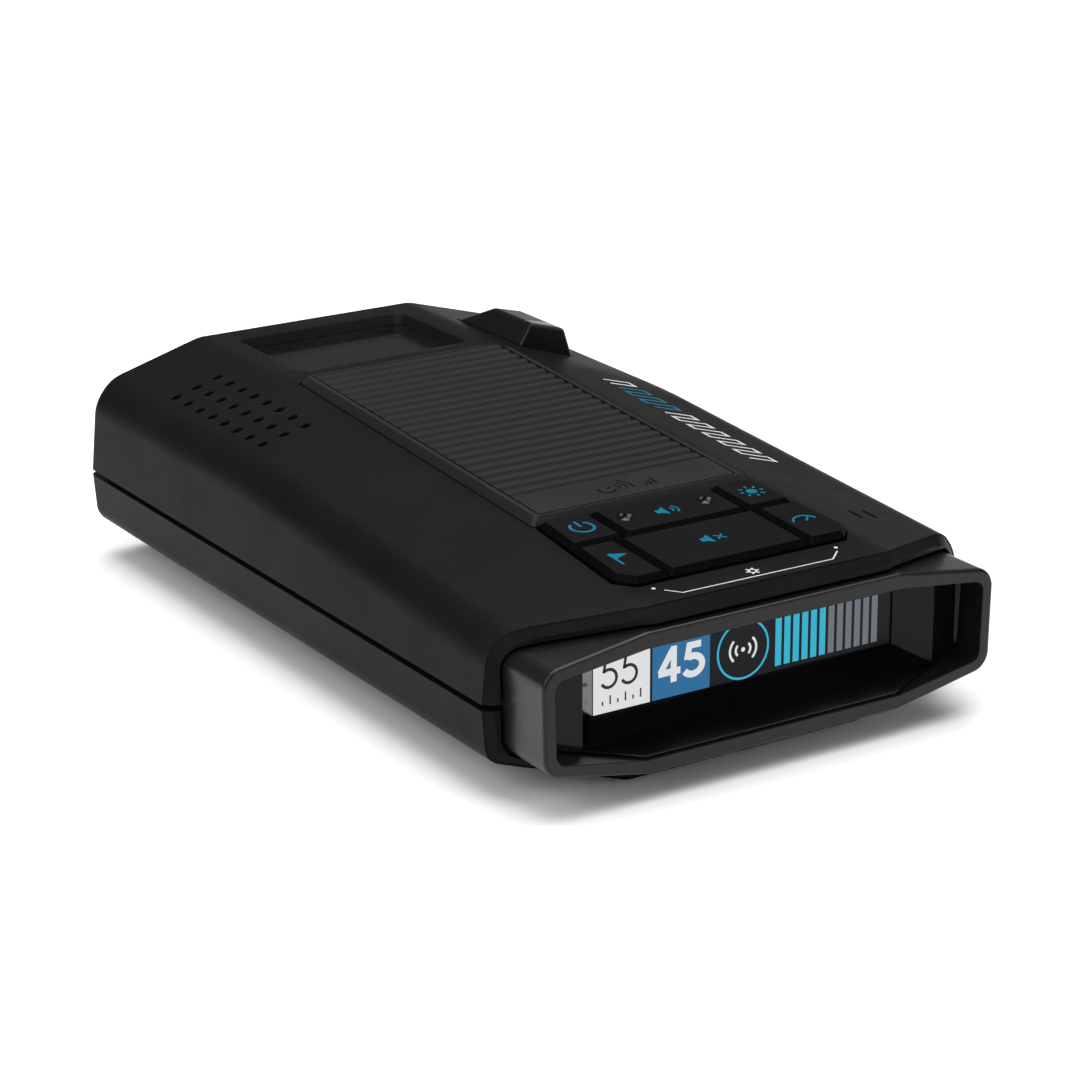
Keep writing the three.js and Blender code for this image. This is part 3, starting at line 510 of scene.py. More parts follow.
# ---- materials ----
class Shader:
    """A Principled material with small helpers for its procedural detail."""

    def __init__(self, name, color, roughness, metallic=0.0, specular=0.5, coat=0.0, tint=1.0):
        self.material = bpy.data.materials.new(name)
        self.material.use_nodes = True
        self.tree = self.material.node_tree
        self.surface = self.tree.nodes["Principled BSDF"]
        self.surface.inputs["Base Color"].default_value = (*color, 1)
        self.surface.inputs["Roughness"].default_value = roughness
        self.surface.inputs["Metallic"].default_value = metallic
        self.surface.inputs["Specular IOR Level"].default_value = specular
        self.surface.inputs["Coat Weight"].default_value = coat
        self.surface.inputs["Coat Roughness"].default_value = 0.1
        self.surface.inputs["Specular Tint"].default_value = (tint, tint, tint, 1)
        self.color = color
        self.base = None
        self.roughness = roughness
        self.coordinates = self.tree.nodes.new("ShaderNodeTexCoord").outputs["Object"]
        self.height = None

    def node(self, kind, **inputs):
        made = self.tree.nodes.new("ShaderNode" + kind)
        for key, value in inputs.items():
            made.inputs[key].default_value = value
        return made

    def link(self, output, target):
        self.tree.links.new(output, target)

    def noise(self, size, detail=2.0, roughness=0.5):
        """Noise whose features are about size millimetres across."""
        made = self.node("TexNoise", Scale=1 / (size * MM), Detail=detail, Roughness=roughness)
        self.link(self.coordinates, made.inputs["Vector"])
        return made.outputs["Fac"]

    def cells(self, size):
        made = self.node("TexVoronoi", Scale=1 / (size * MM))
        self.link(self.coordinates, made.inputs["Vector"])
        return made.outputs["Distance"]

    def spread(self, value, low, high, start, end):
        """value mapped so that start becomes low and end becomes high."""
        made = self.node("MapRange", **{"From Min": start, "From Max": end, "To Min": low, "To Max": high})
        self.link(value, made.inputs["Value"])
        return made.outputs["Result"]

    def mix(self, factor, a, b):
        made = self.tree.nodes.new("ShaderNodeMix")
        made.data_type = "RGBA"
        sockets = [socket for socket in made.inputs if socket.type == "RGBA"]
        for socket, value in zip(sockets, (a, b)):
            if hasattr(value, "is_output"):
                self.link(value, socket)
            else:
                socket.default_value = (*value, 1)
        self.link(factor, made.inputs["Factor"])
        return next(s for s in made.outputs if s.type == "RGBA")

    def vary_roughness(self, size, amount):
        """Roughness that wanders by amount either way over patches of that size."""
        value = self.spread(self.noise(size, 3), self.roughness - amount, self.roughness + amount, 0.3, 0.7)
        self.link(value, self.surface.inputs["Roughness"])
        return self

    def vary_color(self, size, amount):
        """Base colour that wanders by a share of itself over patches of that size."""
        light = tuple(min(1, c * (1 + amount) + 0.002 * amount) for c in self.color)
        dark = tuple(c * (1 - amount) for c in self.color)
        mixed = self.mix(self.spread(self.noise(size, 4), 0, 1, 0.3, 0.7), dark, light)
        self.link(mixed, self.surface.inputs["Base Color"])
        self.base = mixed
        return self

    def paint_edge_highlight(self, amount):
        """Painted highlight: edges lighter where the surface bends sharply outwards."""
        edge_highlight_color = tuple(c * 2 + 0.004 for c in self.color)
        pointed = self.tree.nodes.new("ShaderNodeNewGeometry").outputs["Pointiness"]
        edge = self.spread(pointed, 0, amount, 0.51, 0.62)
        mixed = self.mix(edge, self.base, edge_highlight_color)
        self.link(mixed, self.surface.inputs["Base Color"])
        return self

    def bump(self, value, depth, strength=1.0):
        """Relief of value, depth millimetres high."""
        made = self.node("Bump", Strength=strength, Distance=depth * MM)
        self.link(value, made.inputs["Height"])
        if self.height is not None:
            self.link(self.height, made.inputs["Normal"])
        self.height = made.outputs["Normal"]
        self.link(self.height, self.surface.inputs["Normal"])
        return self


def grained_plastic(name, color, roughness, specular, depth, grain=0.32):
    """Moulded plastic with a spark-eroded grain."""
    shader = Shader(name, color, roughness, specular=specular)
    # the edge step paints a highlight on the sharp outward edges
    shader.vary_color(14, 0.12).paint_edge_highlight(0.35).vary_roughness(9, 0.03)
    shader.bump(shader.noise(grain, 2, 0.6), depth)
    shader.bump(shader.cells(grain * 1.6), depth * 0.5, 0.7)
    return shader.material


def gloss_plastic(name, color, roughness, specular, tint):
    shader = Shader(name, color, roughness, specular=specular, tint=tint)
    # the edge step paints a highlight on the sharp outward edges
    shader.vary_color(20, 0.15).paint_edge_highlight(0.3).vary_roughness(12, 0.03)
    shader.bump(shader.noise(2.4, 2), 0.002)
    return shader.material


def metal(name, color, roughness, grain=0.4):
    shader = Shader(name, color, roughness, metallic=1.0)
    shader.vary_color(6, 0.08).vary_roughness(2.5, 0.08)
    shader.bump(shader.noise(grain, 3), 0.006)
    return shader.material


def circuit_board(name):
    shader = Shader(name, (0.012, 0.09, 0.035), 0.42, coat=0.3)
    tracks = shader.spread(shader.cells(2.2), 0, 1, 0.25, 0.32)
    mask = shader.mix(tracks, (0.02, 0.14, 0.055), (0.008, 0.06, 0.025))
    shader.link(mask, shader.surface.inputs["Base Color"])
    shader.bump(tracks, 0.02)
    shader.vary_roughness(3, 0.06)
    return shader.material


def plain(name, color, roughness, size, depth=0.01, coat=0.0, specular=0.5):
    """An even material with a fine relief."""
    shader = Shader(name, color, roughness, coat=coat, specular=specular)
    shader.vary_color(size * 4, 0.1).vary_roughness(size * 3, 0.05)
    shader.bump(shader.noise(size, 3), depth)
    return shader.material


def lit(name, color, strength):
    """A lit patch of the display, with a fine unevenness."""
    shader = Shader(name, (0.002, 0.002, 0.003), 0.25, specular=0.1)
    grid = shader.spread(shader.noise(0.18, 1), 0.92, 1.0, 0.35, 0.65)
    dim = tuple(c * 0.88 for c in color)
    shader.link(shader.mix(grid, dim, color), shader.surface.inputs["Emission Color"])
    shader.surface.inputs["Emission Strength"].default_value = strength
    return shader.material


def printed(name, color):
    """Pad-printed ink, a little uneven."""
    shader = Shader(name, color, 0.5, specular=0.08)
    shader.vary_color(0.9, 0.12).vary_roughness(0.6, 0.06)
    shader.bump(shader.noise(0.12, 2), 0.004)
    return shader.material


def window_glass(name):
    shader = Shader(name, (0.0015, 0.002, 0.0025), 0.08, specular=0.15, tint=0.3)
    shader.vary_roughness(8, 0.015)
    shader.bump(shader.noise(6, 1), 0.001)
    return shader.material


SHELL = grained_plastic("moulded_shell", (0.005, 0.005, 0.0052), 0.44, 0.045, depth=0.022)
SHELL_COARSE = grained_plastic("coarse_shell", (0.011, 0.011, 0.0113), 0.6, 0.12, grain=0.6, depth=0.11)
PANEL_FINISH = grained_plastic("antenna_cover", (0.0095, 0.0095, 0.0098), 0.48, 0.14, depth=0.01)
KEYS = grained_plastic("moulded_keys", (0.0035, 0.0035, 0.0037), 0.42, 0.04, depth=0.006)
# darker, less glossy copy of the key plastic for the key bevels and sides: painted shade
KEY_SIDES_PAINTED_SHADE = plain("key_sides_painted_shade", (0.0012, 0.0012, 0.0013), 0.5, 0.5, 0.003, specular=0.02)
DIMPLE_GLOSS = gloss_plastic("dimple_gloss", (0.001, 0.001, 0.0011), 0.09, 0.5, 1.0)
TURRET_FINISH = grained_plastic("turret_shell", (0.005, 0.005, 0.0052), 0.36, 0.1, depth=0.004)
GLOSS = gloss_plastic("hood_gloss", (0.005, 0.005, 0.0052), 0.28, 0.5, 0.4)
BEZEL_GLOSS = gloss_plastic("bezel_gloss", (0.0012, 0.0012, 0.0014), 0.14, 0.16, 0.9)
IR_WINDOW = gloss_plastic("laser_window", (0.005, 0.004, 0.005), 0.24, 0.3, 0.5)
SLOT_FINISH = {
    "shell_plastic": SHELL,
    "key_plastic": KEYS,
    "hood_gloss": GLOSS,
    "display_glass": window_glass("display_glass"),
    "screen": plain("screen_back", (0.01, 0.012, 0.014), 0.4, 2),
    "laser_window": IR_WINDOW,
    "circuit_board": circuit_board("solder_mask"),
    "ceramic": plain("fired_ceramic", (0.5, 0.44, 0.33), 0.6, 0.5, 0.02),
    "switch_metal": metal("tinned_can", (0.6, 0.6, 0.62), 0.32, 0.2),
    "cast_zinc": metal("cast_zinc", (0.36, 0.37, 0.39), 0.5, 0.5),
    "steel": metal("plated_steel", (0.5, 0.5, 0.52), 0.34),
    "magnet_metal": metal("nickel_plate", (0.5, 0.49, 0.47), 0.22),
    "rubber": plain("gasket_rubber", (0.02, 0.02, 0.021), 0.85, 0.6, 0.03),
    "cone_paper": plain("cone_pulp", (0.028, 0.027, 0.026), 0.95, 0.35, 0.05),
    "flex_cable": plain("polyimide", (0.32, 0.16, 0.04), 0.35, 1.5, 0.004, coat=0.3),
    "label": plain("blank_foil", (0.5, 0.51, 0.52), 0.38, 1.2, 0.004),
}
TEAL_INK = printed("teal_ink", (0.0, 0.12, 0.2))
WHITE_INK = printed("white_ink", (0.5, 0.5, 0.5))


def finish_nodes():
    """The procedural finish of its slot on every CAD node that stays in view."""
    slots = {row["node"]: row["material_slot"] for row in frame["record"]["subparts"]}
    for name, node in frame["nodes"].items():
        node.data.materials.clear()
        node.data.materials.append(SLOT_FINISH[slots[name]])


finish_nodes()


# ---- shells ----
def hood_tunnel():
    """What the hood's seat takes out of the shells, narrower behind the hood."""
    near = hood_loft(HOOD, [(-5, HOOD_GAP), (CHEEK["depth"] + 0.35, HOOD_GAP)])
    far = hood_loft(HOOD, [(CHEEK["depth"] + 0.3, -0.5), (20, -0.5)])
    return combine(near, [far], "UNION")


def key_edge(y):
    """Half width of the keypad, which narrows slightly towards the rear."""
    return KEY_SIDE - (y - KEY_CORNER) * KEY_TAPER


def deck_prism(outline, w0, w1):
    """An outline on the falling roof plane, drawn out square to it."""
    return loft([[on_deck(x, v, w) for x, v in outline] for w in (w0, w1)])


def pad_outline():
    far = KEY_FAR + GAP
    near = KEY_NEAR - GAP
    side = key_edge(KEY_CORNER) + GAP
    corner_half, corner_y = CORNER_HALF + 0.15, KEY_CORNER - 0.1
    return [(-key_edge(far) - GAP, far), (key_edge(far) + GAP, far), (side, corner_y), (corner_half, near),
            (-corner_half, near), (-side, corner_y)]


def panel_outline(grow):
    half, near, far = PANEL["half"], PANEL["near"], PANEL["far"]
    return round_corners([(-half - grow, near - grow, 0.6), (half + grow, near - grow, 0.6),
                          (half + grow, far + grow, 4), (-half - grow, far + grow, 1)], 6)


def speaker_holes():
    """Cutters for the sound holes, each with a flared lip."""
    levels = [(-5, 0.82), (-0.22, 0.82), (0.02, 1.06), (0.55, 1.6)]
    turn = Matrix.Rotation(-SLOPE_ANGLE, 3, "Y")
    rings = [[turn @ Vector(p) for p in ring] for ring in disc_rings(levels, 24)]
    holes = []
    for column in range(HOLES["columns"]):
        for row in range(HOLES["rows"]):
            x = HOLES["x"] - row * HOLES["row_pitch"]
            y = HOLES["y"] + column * HOLES["column_pitch"]
            middle = Vector((x, y, roof_at(x, y)))
            holes.append(loft([[p + middle for p in ring] for ring in rings]))
    return merged(*holes)


def socket_ring(inset, z):
    near, far = SOCKET["near"] + inset, SOCKET["far"] - inset
    return [(x, y, z) for x, y in rectangle(SOCKET["half"] - inset, near, far, 1.4, 1.4)]


def socket_cutters():
    """The mount socket's flared mouth, and the wider pocket under its lip."""
    lip = ROOF_Z - SOCKET["lip"]
    mouth = loft([socket_ring(0.9, lip - 3), socket_ring(0.9, lip - 0.2), socket_ring(0.75, lip),
                  socket_ring(0.08, ROOF_Z - 0.12), socket_ring(-0.12, ROOF_Z),
                  socket_ring(-0.3, ROOF_Z + 3)])
    pocket = loft([socket_ring(0.2, ROOF_Z - 5), socket_ring(0.2, lip - 0.35)])
    return [mouth, pocket]


def turret_rings(grow=0.0):
    """Base ring of the turret, a function of its rise above the slope, and its crown ring."""
    left, right = TURRET["left"] - grow, TURRET["right"] + grow
    near, far = TURRET["near"] - grow, TURRET["far"] + grow
    plan = [(left, near + 1.1), (right, near - 1.1), (right, far), (left, far)]
    crown = [(24.8 - grow, near + 0.75, 4.25), (30.3 + grow, near - 0.75, 4.4),
             (30.3 + grow, 114.2 + grow, 4.4), (24.8 - grow, 114.2 + grow, 4.25)]

    def raised(points):
        return [(x, y, ROOF_Z - REAR_SLOPE * (x - ROOF_HALF) + rise) for x, y, rise in points]

    def base(rise):
        return raised([(x, y, rise) for x, y in plan])

    return base, raised(crown)


def side_openings(grow):
    """Cutters for the power, USB and audio inlets, grown by a gap all round."""
    inside, outside = 30, 45

    def across(a, b, c):
        return (c, SIDE_Y["audio"] + b, SIDE_Z - a)

    cutters = []
    for name, (half_y, half_z) in SIDE_HALVES.items():
        y, w, h = SIDE_Y[name], half_y + grow, half_z + grow
        cutters.append(box(inside, outside, y - w, y + w, SIDE_Z - h, SIDE_Z + h))
    bore = disc_rings([(inside, AUDIO_R + grow), (outside, AUDIO_R + grow)], 40)
    return [*cutters, loft(moved(bore, across))]


def columns(z0, z1, radius):
    return [loft(moved(disc_rings([(z0, radius), (z1, radius)], 32), lambda a, b, c: (a + x, b + y, c)))
            for x, y in SCREWS]


def top_shell():
    seam = WAIST_Z + GROOVE / 2
    bosses = combine(merged(*columns(seam, 30, SCREW_R["boss"])), [inner_form(WALL - 0.3)], "INTERSECT")
    body = combine(outer_form(), [speaker_holes(), inner_form(WALL)])
    body = combine(body, [bosses], "UNION")
    footing, _ = turret_rings(GAP)
    cutters = [
        slab(z1=seam),
        hood_tunnel(),
        deck_prism(panel_outline(GAP), -PANEL["sink"] - GAP, 6),
        deck_prism(rounded_inset(pad_outline(), 0, 0.5), -8, 6),
        *[box(x - 0.28, x + 0.28, 16.6, 19.8, 15, 40) for x in MIC_SLOTS],
        *socket_cutters(),
        loft([footing(-6), footing(2)]),
        *side_openings(GAP),
        *columns(0, 24, SCREW_R["thread"]),
        box(*LENS_OPENING),
    ]
    piece("top_housing", combine(body, cutters), "root", SHELL, ["top_shell"])


def base_pad(grow, z):
    return [(x, y, z) for x, y in rectangle(PAD_HALF + grow, PAD_NEAR, PAD_FAR + grow, 1.2, 3, 8)]


def bottom_shell():
    seam = WAIST_Z - GROOVE / 2
    post_top = seam - 0.4
    posts = combine(merged(*columns(0.5, post_top, SCREW_R["post"])), [outer_form()], "INTERSECT")
    lip = combine(inner_form(WALL - 0.2), [inner_form(3.3), slab(y1=16), slab(0, 200, z1=10)])
    rim = combine(inner_form(WALL + GAP), [inner_form(3.2), slab(y1=16.2), slab(0, 200, z1=seam - 1),
                                           slab(0, 200, seam + 2.2)])
    pad = loft([base_pad(-0.2, 0), base_pad(0, 0.15), base_pad(PAD_FLARE, BELLY_Z + 0.3)])
    body = combine(outer_form(), [inner_form(WALL)])
    body = combine(body, [lip], "UNION")
    body = combine(body, [slab(z0=seam), hood_tunnel()])
    body = combine(body, [posts, rim, pad], "UNION")
    cutters = [box(*LABEL_RECESS), *columns(-5, 7.4, SCREW_R["head"]), *columns(0, 20, SCREW_R["shank"]),
               *columns(post_top, 20, SCREW_R["seat"])]
    piece("bottom_housing", combine(body, cutters), "root", SHELL, ["bottom_shell"])


# ---- display end ----
def hood_loft(dims, levels):
    """The hood's or its mouth's outline through levels of (y, growth)."""
    return loft([[(x, y, z) for x, z in hood_outline(dims, grow)] for y, grow in levels])


def display_hood():
    """A rounded front edge and a roof, with sides that reach further in than the roof."""
    edge_levels = [(0, -0.5), (0.05, -0.34), (0.16, -0.18), (0.34, -0.06), (0.62, 0), (HOOD_DEPTH, 0),
                   (CHEEK["depth"], 0)]
    bore_levels = [(-1, 0.6), (-0.02, 0.16), (0.06, 0.05), (0.2, 0), (5.4, -0.35), (12, -0.35)]
    skin = hood_loft(HOOD, edge_levels)
    bore = hood_loft(MOUTH, bore_levels)
    tongues = [box(x - 0.5, x + 0.5, 8.3, 14, 10, 19) for x in (-36.35, 36.35)]
    shell = combine(skin, [bore])
    shell = combine(shell, [box(-CHEEK["from"], CHEEK["from"], HOOD_DEPTH, 20, -10, 60)])
    shell = combine(shell, tongues, "UNION")
    piece("hood_shell", shell, "root", GLOSS, ["display_hood"], sharp=28)


def funnel_ring(side, floor, y):
    """Four corners of the funnel round the window, grown sideways and downwards."""
    reach = SCREEN["half"] + side
    low, high = SCREEN["low"] - floor, SCREEN["high"] + floor
    return [(reach, y, high), (reach, y, low), (-reach, y, low), (-reach, y, high)]


def display_bezel():
    """A flat floor and sloping sides that rise to a ridge, with a valley beyond each ridge."""
    front, near, back = FUNNEL["front"], FUNNEL["near"], SCREEN["y"]
    block = hood_loft(MOUTH, [(front, -0.25), (5.4, -0.35 - GAP), (7.35, -0.35 - GAP)])
    overrun = 1.5
    share = (back - front + overrun) / (back - front)
    side = near + (FUNNEL["side"] - near) * share
    floor = near + (FUNNEL["floor"] - near) * share
    funnel = loft([funnel_ring(side, floor, front - overrun), funnel_ring(near, near, back),
                   funnel_ring(near, near, 9)])
    valleys = []
    for hand in (-1, 1):
        plan = [(16.97, -1), (RIDGE["x"], RIDGE["y"]), (RIDGE["valley_x"], RIDGE["valley_y"]),
                (37.2, 3.7), (37.2, -1)]
        valleys.append(loft([[(hand * x, y, z) for x, y in plan] for z in (-2, 40)]))
    shape = softened(combine(block, [funnel, *valleys]), 0.13, 20)
    piece("bezel_funnel", shape, "root", BEZEL_GLOSS, ["display_bezel"], sharp=40)


# ---- keys ----
KEY_OUTLINES = {
    "power": [(-key_edge(KEY_FAR), KEY_FAR), (-10.1, KEY_FAR), (-10.1, FAR_ROW),
              (-key_edge(FAR_ROW), FAR_ROW)],
    "volume": [(-9.8, KEY_FAR), (10.85, KEY_FAR), (10.85, FAR_ROW), (-9.8, FAR_ROW)],
    "brightness": [(11.15, KEY_FAR), (key_edge(KEY_FAR), KEY_FAR), (key_edge(FAR_ROW), FAR_ROW),
                   (11.15, FAR_ROW)],
    "mark": [(-key_edge(NEAR_ROW), NEAR_ROW), (-12.3, NEAR_ROW), (-12.3, KEY_NEAR), (-CORNER_HALF, KEY_NEAR),
             (-key_edge(KEY_CORNER), KEY_CORNER)],
    "mute": [(-12, NEAR_ROW), (11.4, NEAR_ROW), (11.4, KEY_NEAR), (-12, KEY_NEAR)],
    "sensitivity": [(11.7, NEAR_ROW), (key_edge(NEAR_ROW), NEAR_ROW), (key_edge(KEY_CORNER), KEY_CORNER),
                    (CORNER_HALF, KEY_NEAR), (11.7, KEY_NEAR)],
}
KEY_STEMS = {
    "power": [(-14.4, 27.6)],
    "volume": [(-6.9, 27.6), (7.9, 27.6)],
    "brightness": [(14.9, 27.6)],
    "mark": [(-15.9, 15.6)],
    "mute": [(-0.3, 15.6)],
    "sensitivity": [(15.5, 15.6)],
}
DIMPLES = [(-6.5, 28.0), (7.3, 28.0)]


def dimple_disc(x, v, levels):
    """A round solid square to the key tops, through levels of (height, radius)."""
    return loft(moved(disc_rings(levels, 48), lambda a, b, c: on_deck(a + x, b + v, c)))


def dimple_cups():
    """Glossy bowls let into the two ends of the volume key."""
    bowl = [(KEY_RISE - 0.98, 0.2), (KEY_RISE - 0.9, 0.6), (KEY_RISE - 0.66, 0.95),
            (KEY_RISE - 0.34, 1.2), (KEY_RISE - 0.06, 1.33), (KEY_RISE + 1, 1.9)]
    for x, v in DIMPLES:
        cup = dimple_disc(x, v, [(KEY_RISE - 1.2, 1.45), (KEY_RISE - 0.02, 1.45)])
        cup = combine(cup, [dimple_disc(x, v, bowl)])
        piece("volume_dimple", cup, "volume_rocker", DIMPLE_GLOSS)


def key_cap(name):
    """A bevelled key with its stems; the bevels and sides take a darker copy of the key plastic as painted
    shade.
    """
    levels = [(0.25, -KEY_THICK, 0.2), (0, -KEY_THICK + 0.25, 0.25), (0, KEY_RISE - KEY_BEVEL - 0.08, 0.25),
              (0.03, KEY_RISE - KEY_BEVEL, 0.25), (KEY_BEVEL - 0.05, KEY_RISE - 0.06, 0.18),
              (KEY_BEVEL + 0.02, KEY_RISE, 0.15)]
    cap = loft([[on_deck(x, v, w) for x, v in rounded_inset(KEY_OUTLINES[name], inset, radius)]
                for inset, w, radius in levels])
    r = 1.5
    stems = [deck_prism([(x - r, v - r), (x + r, v - r), (x + r, v + r), (x - r, v + r)],
                        -KEY_REACH, -KEY_THICK + 0.4) for x, v in KEY_STEMS[name]]
    cap = combine(cap, stems, "UNION")
    if name == "volume":
        seat = [(KEY_RISE - 1.1, 1.42), (KEY_RISE + 1, 1.42)]
        cap = combine(cap, [dimple_disc(x, v, seat) for x, v in DIMPLES])
    body = "volume_rocker" if name == "volume" else name + "_button"
    key = piece(name + "_key", cap, body, KEYS, [body], sharp=20)
    key.data.materials.append(KEY_SIDES_PAINTED_SHADE)
    # painted shade: every face that does not face up takes the darker copy of the key plastic
    up = Vector((0, -math.sin(DECK_ANGLE), math.cos(DECK_ANGLE)))
    for face in key.data.polygons:
        if face.normal.dot(up) < 0.97:
            face.material_index = 1


# ---- satellite antenna cover ----
RIB_SHAPE = [(0, 0), (0.3, 0), (0.44, 0.9), (0.5, 1), (0.8, 1), (0.87, 0.9)]
RIM_GROOVE = {"half": 16.95, "width": 0.27, "depth": 0.4}


def rib_well(end):
    """What is taken away between the ribs, as one solid across the cover."""
    top = PANEL["rise"]
    floor = top - 0.04 - RIBS["height"]
    line = [(RIBS["near"] + (i + share) * RIBS["pitch"], floor + RIBS["height"] * height)
            for i in range(RIBS["count"]) for share, height in RIB_SHAPE]
    profile = line + [(end, top + 2), (RIBS["near"], top + 2)]
    return loft([[on_deck(x, v, w) for v, w in profile] for x in (-RIM_GROOVE["half"], RIM_GROOVE["half"])])


def rim_groove(end):
    """A fine groove along the sides and the near end of the ribbed field."""
    half, width = RIM_GROOVE["half"], RIM_GROOVE["width"]
    near = PANEL["near"] + 1.3
    outer = rectangle(half + width, near - width, end, 0.5, 0.5)
    inner = rectangle(half, near, end + 1, 0.3, 0.3)
    return combine(deck_prism(outer, PANEL["rise"] - RIM_GROOVE["depth"], 6), [deck_prism(inner, -3, 8)])


def ribbon(points, width):
    """Outline of a line of constant width."""
    quads = stroke(points, width)
    there = [quad[0] for quad in quads] + [quads[-1][3]]
    return there + [quads[-1][2]] + [quad[1] for quad in reversed(quads)]


def antenna_sign():
    """A dish and its waves, engraved on the plain strip of the cover."""
    lines = [ribbon(arc_points(-3.2, 37.9, 1.3, 150, 330, 14), 0.34)]
    lines.append(ribbon([(-3.0, 38.0), (-2.3, 38.6)], 0.34))
    for reach in (1.1, 2.1, 3.1):
        lines.append(ribbon(arc_points(-2.1, 37.8, reach, -20, 50, 10), 0.32))
    lines += bars([(2.9, 36.6, 3.25, 37.3), (3.75, 36.6, 4.1, 38.0), (4.6, 36.6, 4.95, 38.8)])
    return [deck_prism([(p[0], p[1]) for p in line], PANEL["rise"] - 0.22, 6) for line in lines]


def gps_cover():
    rise, sink = PANEL["rise"], PANEL["sink"]
    tiers = [(0, -sink), (0, 0.12), (-0.05, 0.2), (-0.7, rise - 0.1), (-0.78, rise - 0.02), (-0.9, rise)]
    bed = loft([[on_deck(x, v, w) for x, v in panel_outline(grow)] for grow, w in tiers])
    end = RIBS["near"] + RIBS["count"] * RIBS["pitch"]
    cover = combine(bed, [rib_well(end)])
    cover = combine(cover, [rim_groove(end)])
    cover = combine(cover, antenna_sign())
    piece("antenna_cover", cover, "root", PANEL_FINISH, ["gps_panel"], sharp=24)


# ---- mount tray and laser turret ----
def mount_tray():
    top = ROOF_Z - SOCKET["lip"] - 0.38
    floor = SOCKET["floor"]
    block = loft([socket_ring(0.5, floor - 1.2), socket_ring(0.5, top)])
    well = loft([socket_ring(1.4, floor), socket_ring(1.15, floor + 0.18), socket_ring(1.0, floor + 0.5),
                 socket_ring(0.9, top + 1)])
    piece("socket_tray", combine(block, [well]), "root", SHELL_COARSE, ["mount_tray"])


def laser_turret():
    base, crown = turret_rings()
    wall = 1.6
    skin = softened(loft([base(-wall), base(0), crown]), 0.55, 25)
    base_in, crown_in = turret_rings(-1.5)
    hollow = loft([[(x, y, z - wall) for x, y, z in ring]
                   for ring in (base_in(-wall), base_in(0), crown_in)])
    shell = combine(skin, [hollow])
    lean, slit = 0.9, 0.07

    def side_of_split(edge, far):
        """All that lies between the split, leaning slightly, and a far station."""
        y = TURRET["split"] + edge
        return loft([[(x, far, 0), (x, y + lean, 20), (x, y - lean, 45), (x, far, 60)] for x in (0, 60)])

    window = combine(shell, [side_of_split(-slit, -50)], "INTERSECT")
    cover = combine(shell.copy(), [side_of_split(slit, 200)], "INTERSECT")
    piece("turret_window", window, "root", IR_WINDOW, ["rear_laser_window"])
    piece("turret_cover", cover, "root", TURRET_FINISH, ["rear_laser_cover"])


# ---- marks: flat figures drawn as strokes ----
def stroke(points, width, closed=False):
    """A line of constant width as a list of quads, each four (x, y) corners."""
    pts = [Vector(p) for p in points]
    count = len(pts)
    sides = []
    for i, here in enumerate(pts):
        before = pts[i - 1] if i or closed else here - (pts[1] - here)
        after = pts[(i + 1) % count] if i + 1 < count or closed else here + (here - pts[i - 1])
        a = (here - before).normalized()
        b = (after - here).normalized()
        middle = (a + b).normalized() if (a + b).length > 1e-6 else a
        normal = Vector((-middle.y, middle.x))
        reach = width / 2 / max(0.5, normal.dot(Vector((-a.y, a.x))))
        sides.append((here + normal * reach, here - normal * reach))
    spans = count if closed else count - 1
    following = sides[1:] + sides[:1]
    return [[a, b, d, c] for (a, b), (c, d) in list(zip(sides, following))[:spans]]


def arc_points(cx, cy, r, start, end, steps=20):
    turns = [math.radians(start + (end - start) * i / steps) for i in range(steps + 1)]
    return [(cx + r * math.cos(a), cy + r * math.sin(a)) for a in turns]


def disc(cx, cy, r, steps=28):
    return [[Vector(p) for p in arc_points(cx, cy, r, 0, 360, steps)[:-1]]]


def figure(name, polygons, surface, body, material, thick=0.03, sunk=0.04):
    """Flat polygons raised as a thin closed layer on a surface: surface(x, y, w) gives (x, y, z)."""
    plates = [loft([[surface(p[0], p[1], w) for p in polygon] for w in (-sunk, thick)])
              for polygon in polygons]
    piece(name, merged(*plates), body, material)


def bars(rects):
    return [[(x0, y0), (x1, y0), (x1, y1), (x0, y1)] for x0, y0, x1, y1 in rects]


top_shell()
bottom_shell()
display_hood()
display_bezel()
for key_name in KEY_OUTLINES:
    key_cap(key_name)
dimple_cups()
gps_cover()
mount_tray()
laser_turret()


# ---- display picture ----
LAYER = 0.012                 # thickness of each layer of the picture
def screen_spot(x, z, w):
    """A point on the picture behind the window: w is how far it stands towards the viewer."""
    return (x, SCREEN_FACE - w, z)


def screen_patch(name, polygons, material, level=0):
    figure(name, polygons, screen_spot, "root", material, thick=LAYER * (level + 1), sunk=0.0)


def five(x, z, width, height, weight):
    """The number 5 in plain strokes, its lower left corner at x, z."""
    bowl = [(x + width * (0.42 + 0.58 * math.cos(a)), z + height * (0.31 + 0.31 * math.sin(a)))
            for a in (math.radians(128 - 278 * i / 22) for i in range(23))]
    flag = [(x + width * 0.92, z + height), (x + width * 0.2, z + height),
            (x + width * 0.06, z + height * 0.53)]
    return stroke(flag, weight) + stroke([flag[-1]] + bowl, weight)


def four(x, z, width, height, weight):
    """The number 4 in plain strokes, its lower left corner at x, z."""
    stem = x + width * 0.72
    return (stroke([(stem, z - weight / 2), (stem, z + height + weight / 2)], weight)
            + stroke([(stem - weight * 0.2, z + height), (x, z + height * 0.27)], weight)
            + stroke([(x - weight * 0.3, z + height * 0.25), (x + width * 1.08, z + height * 0.25)], weight))


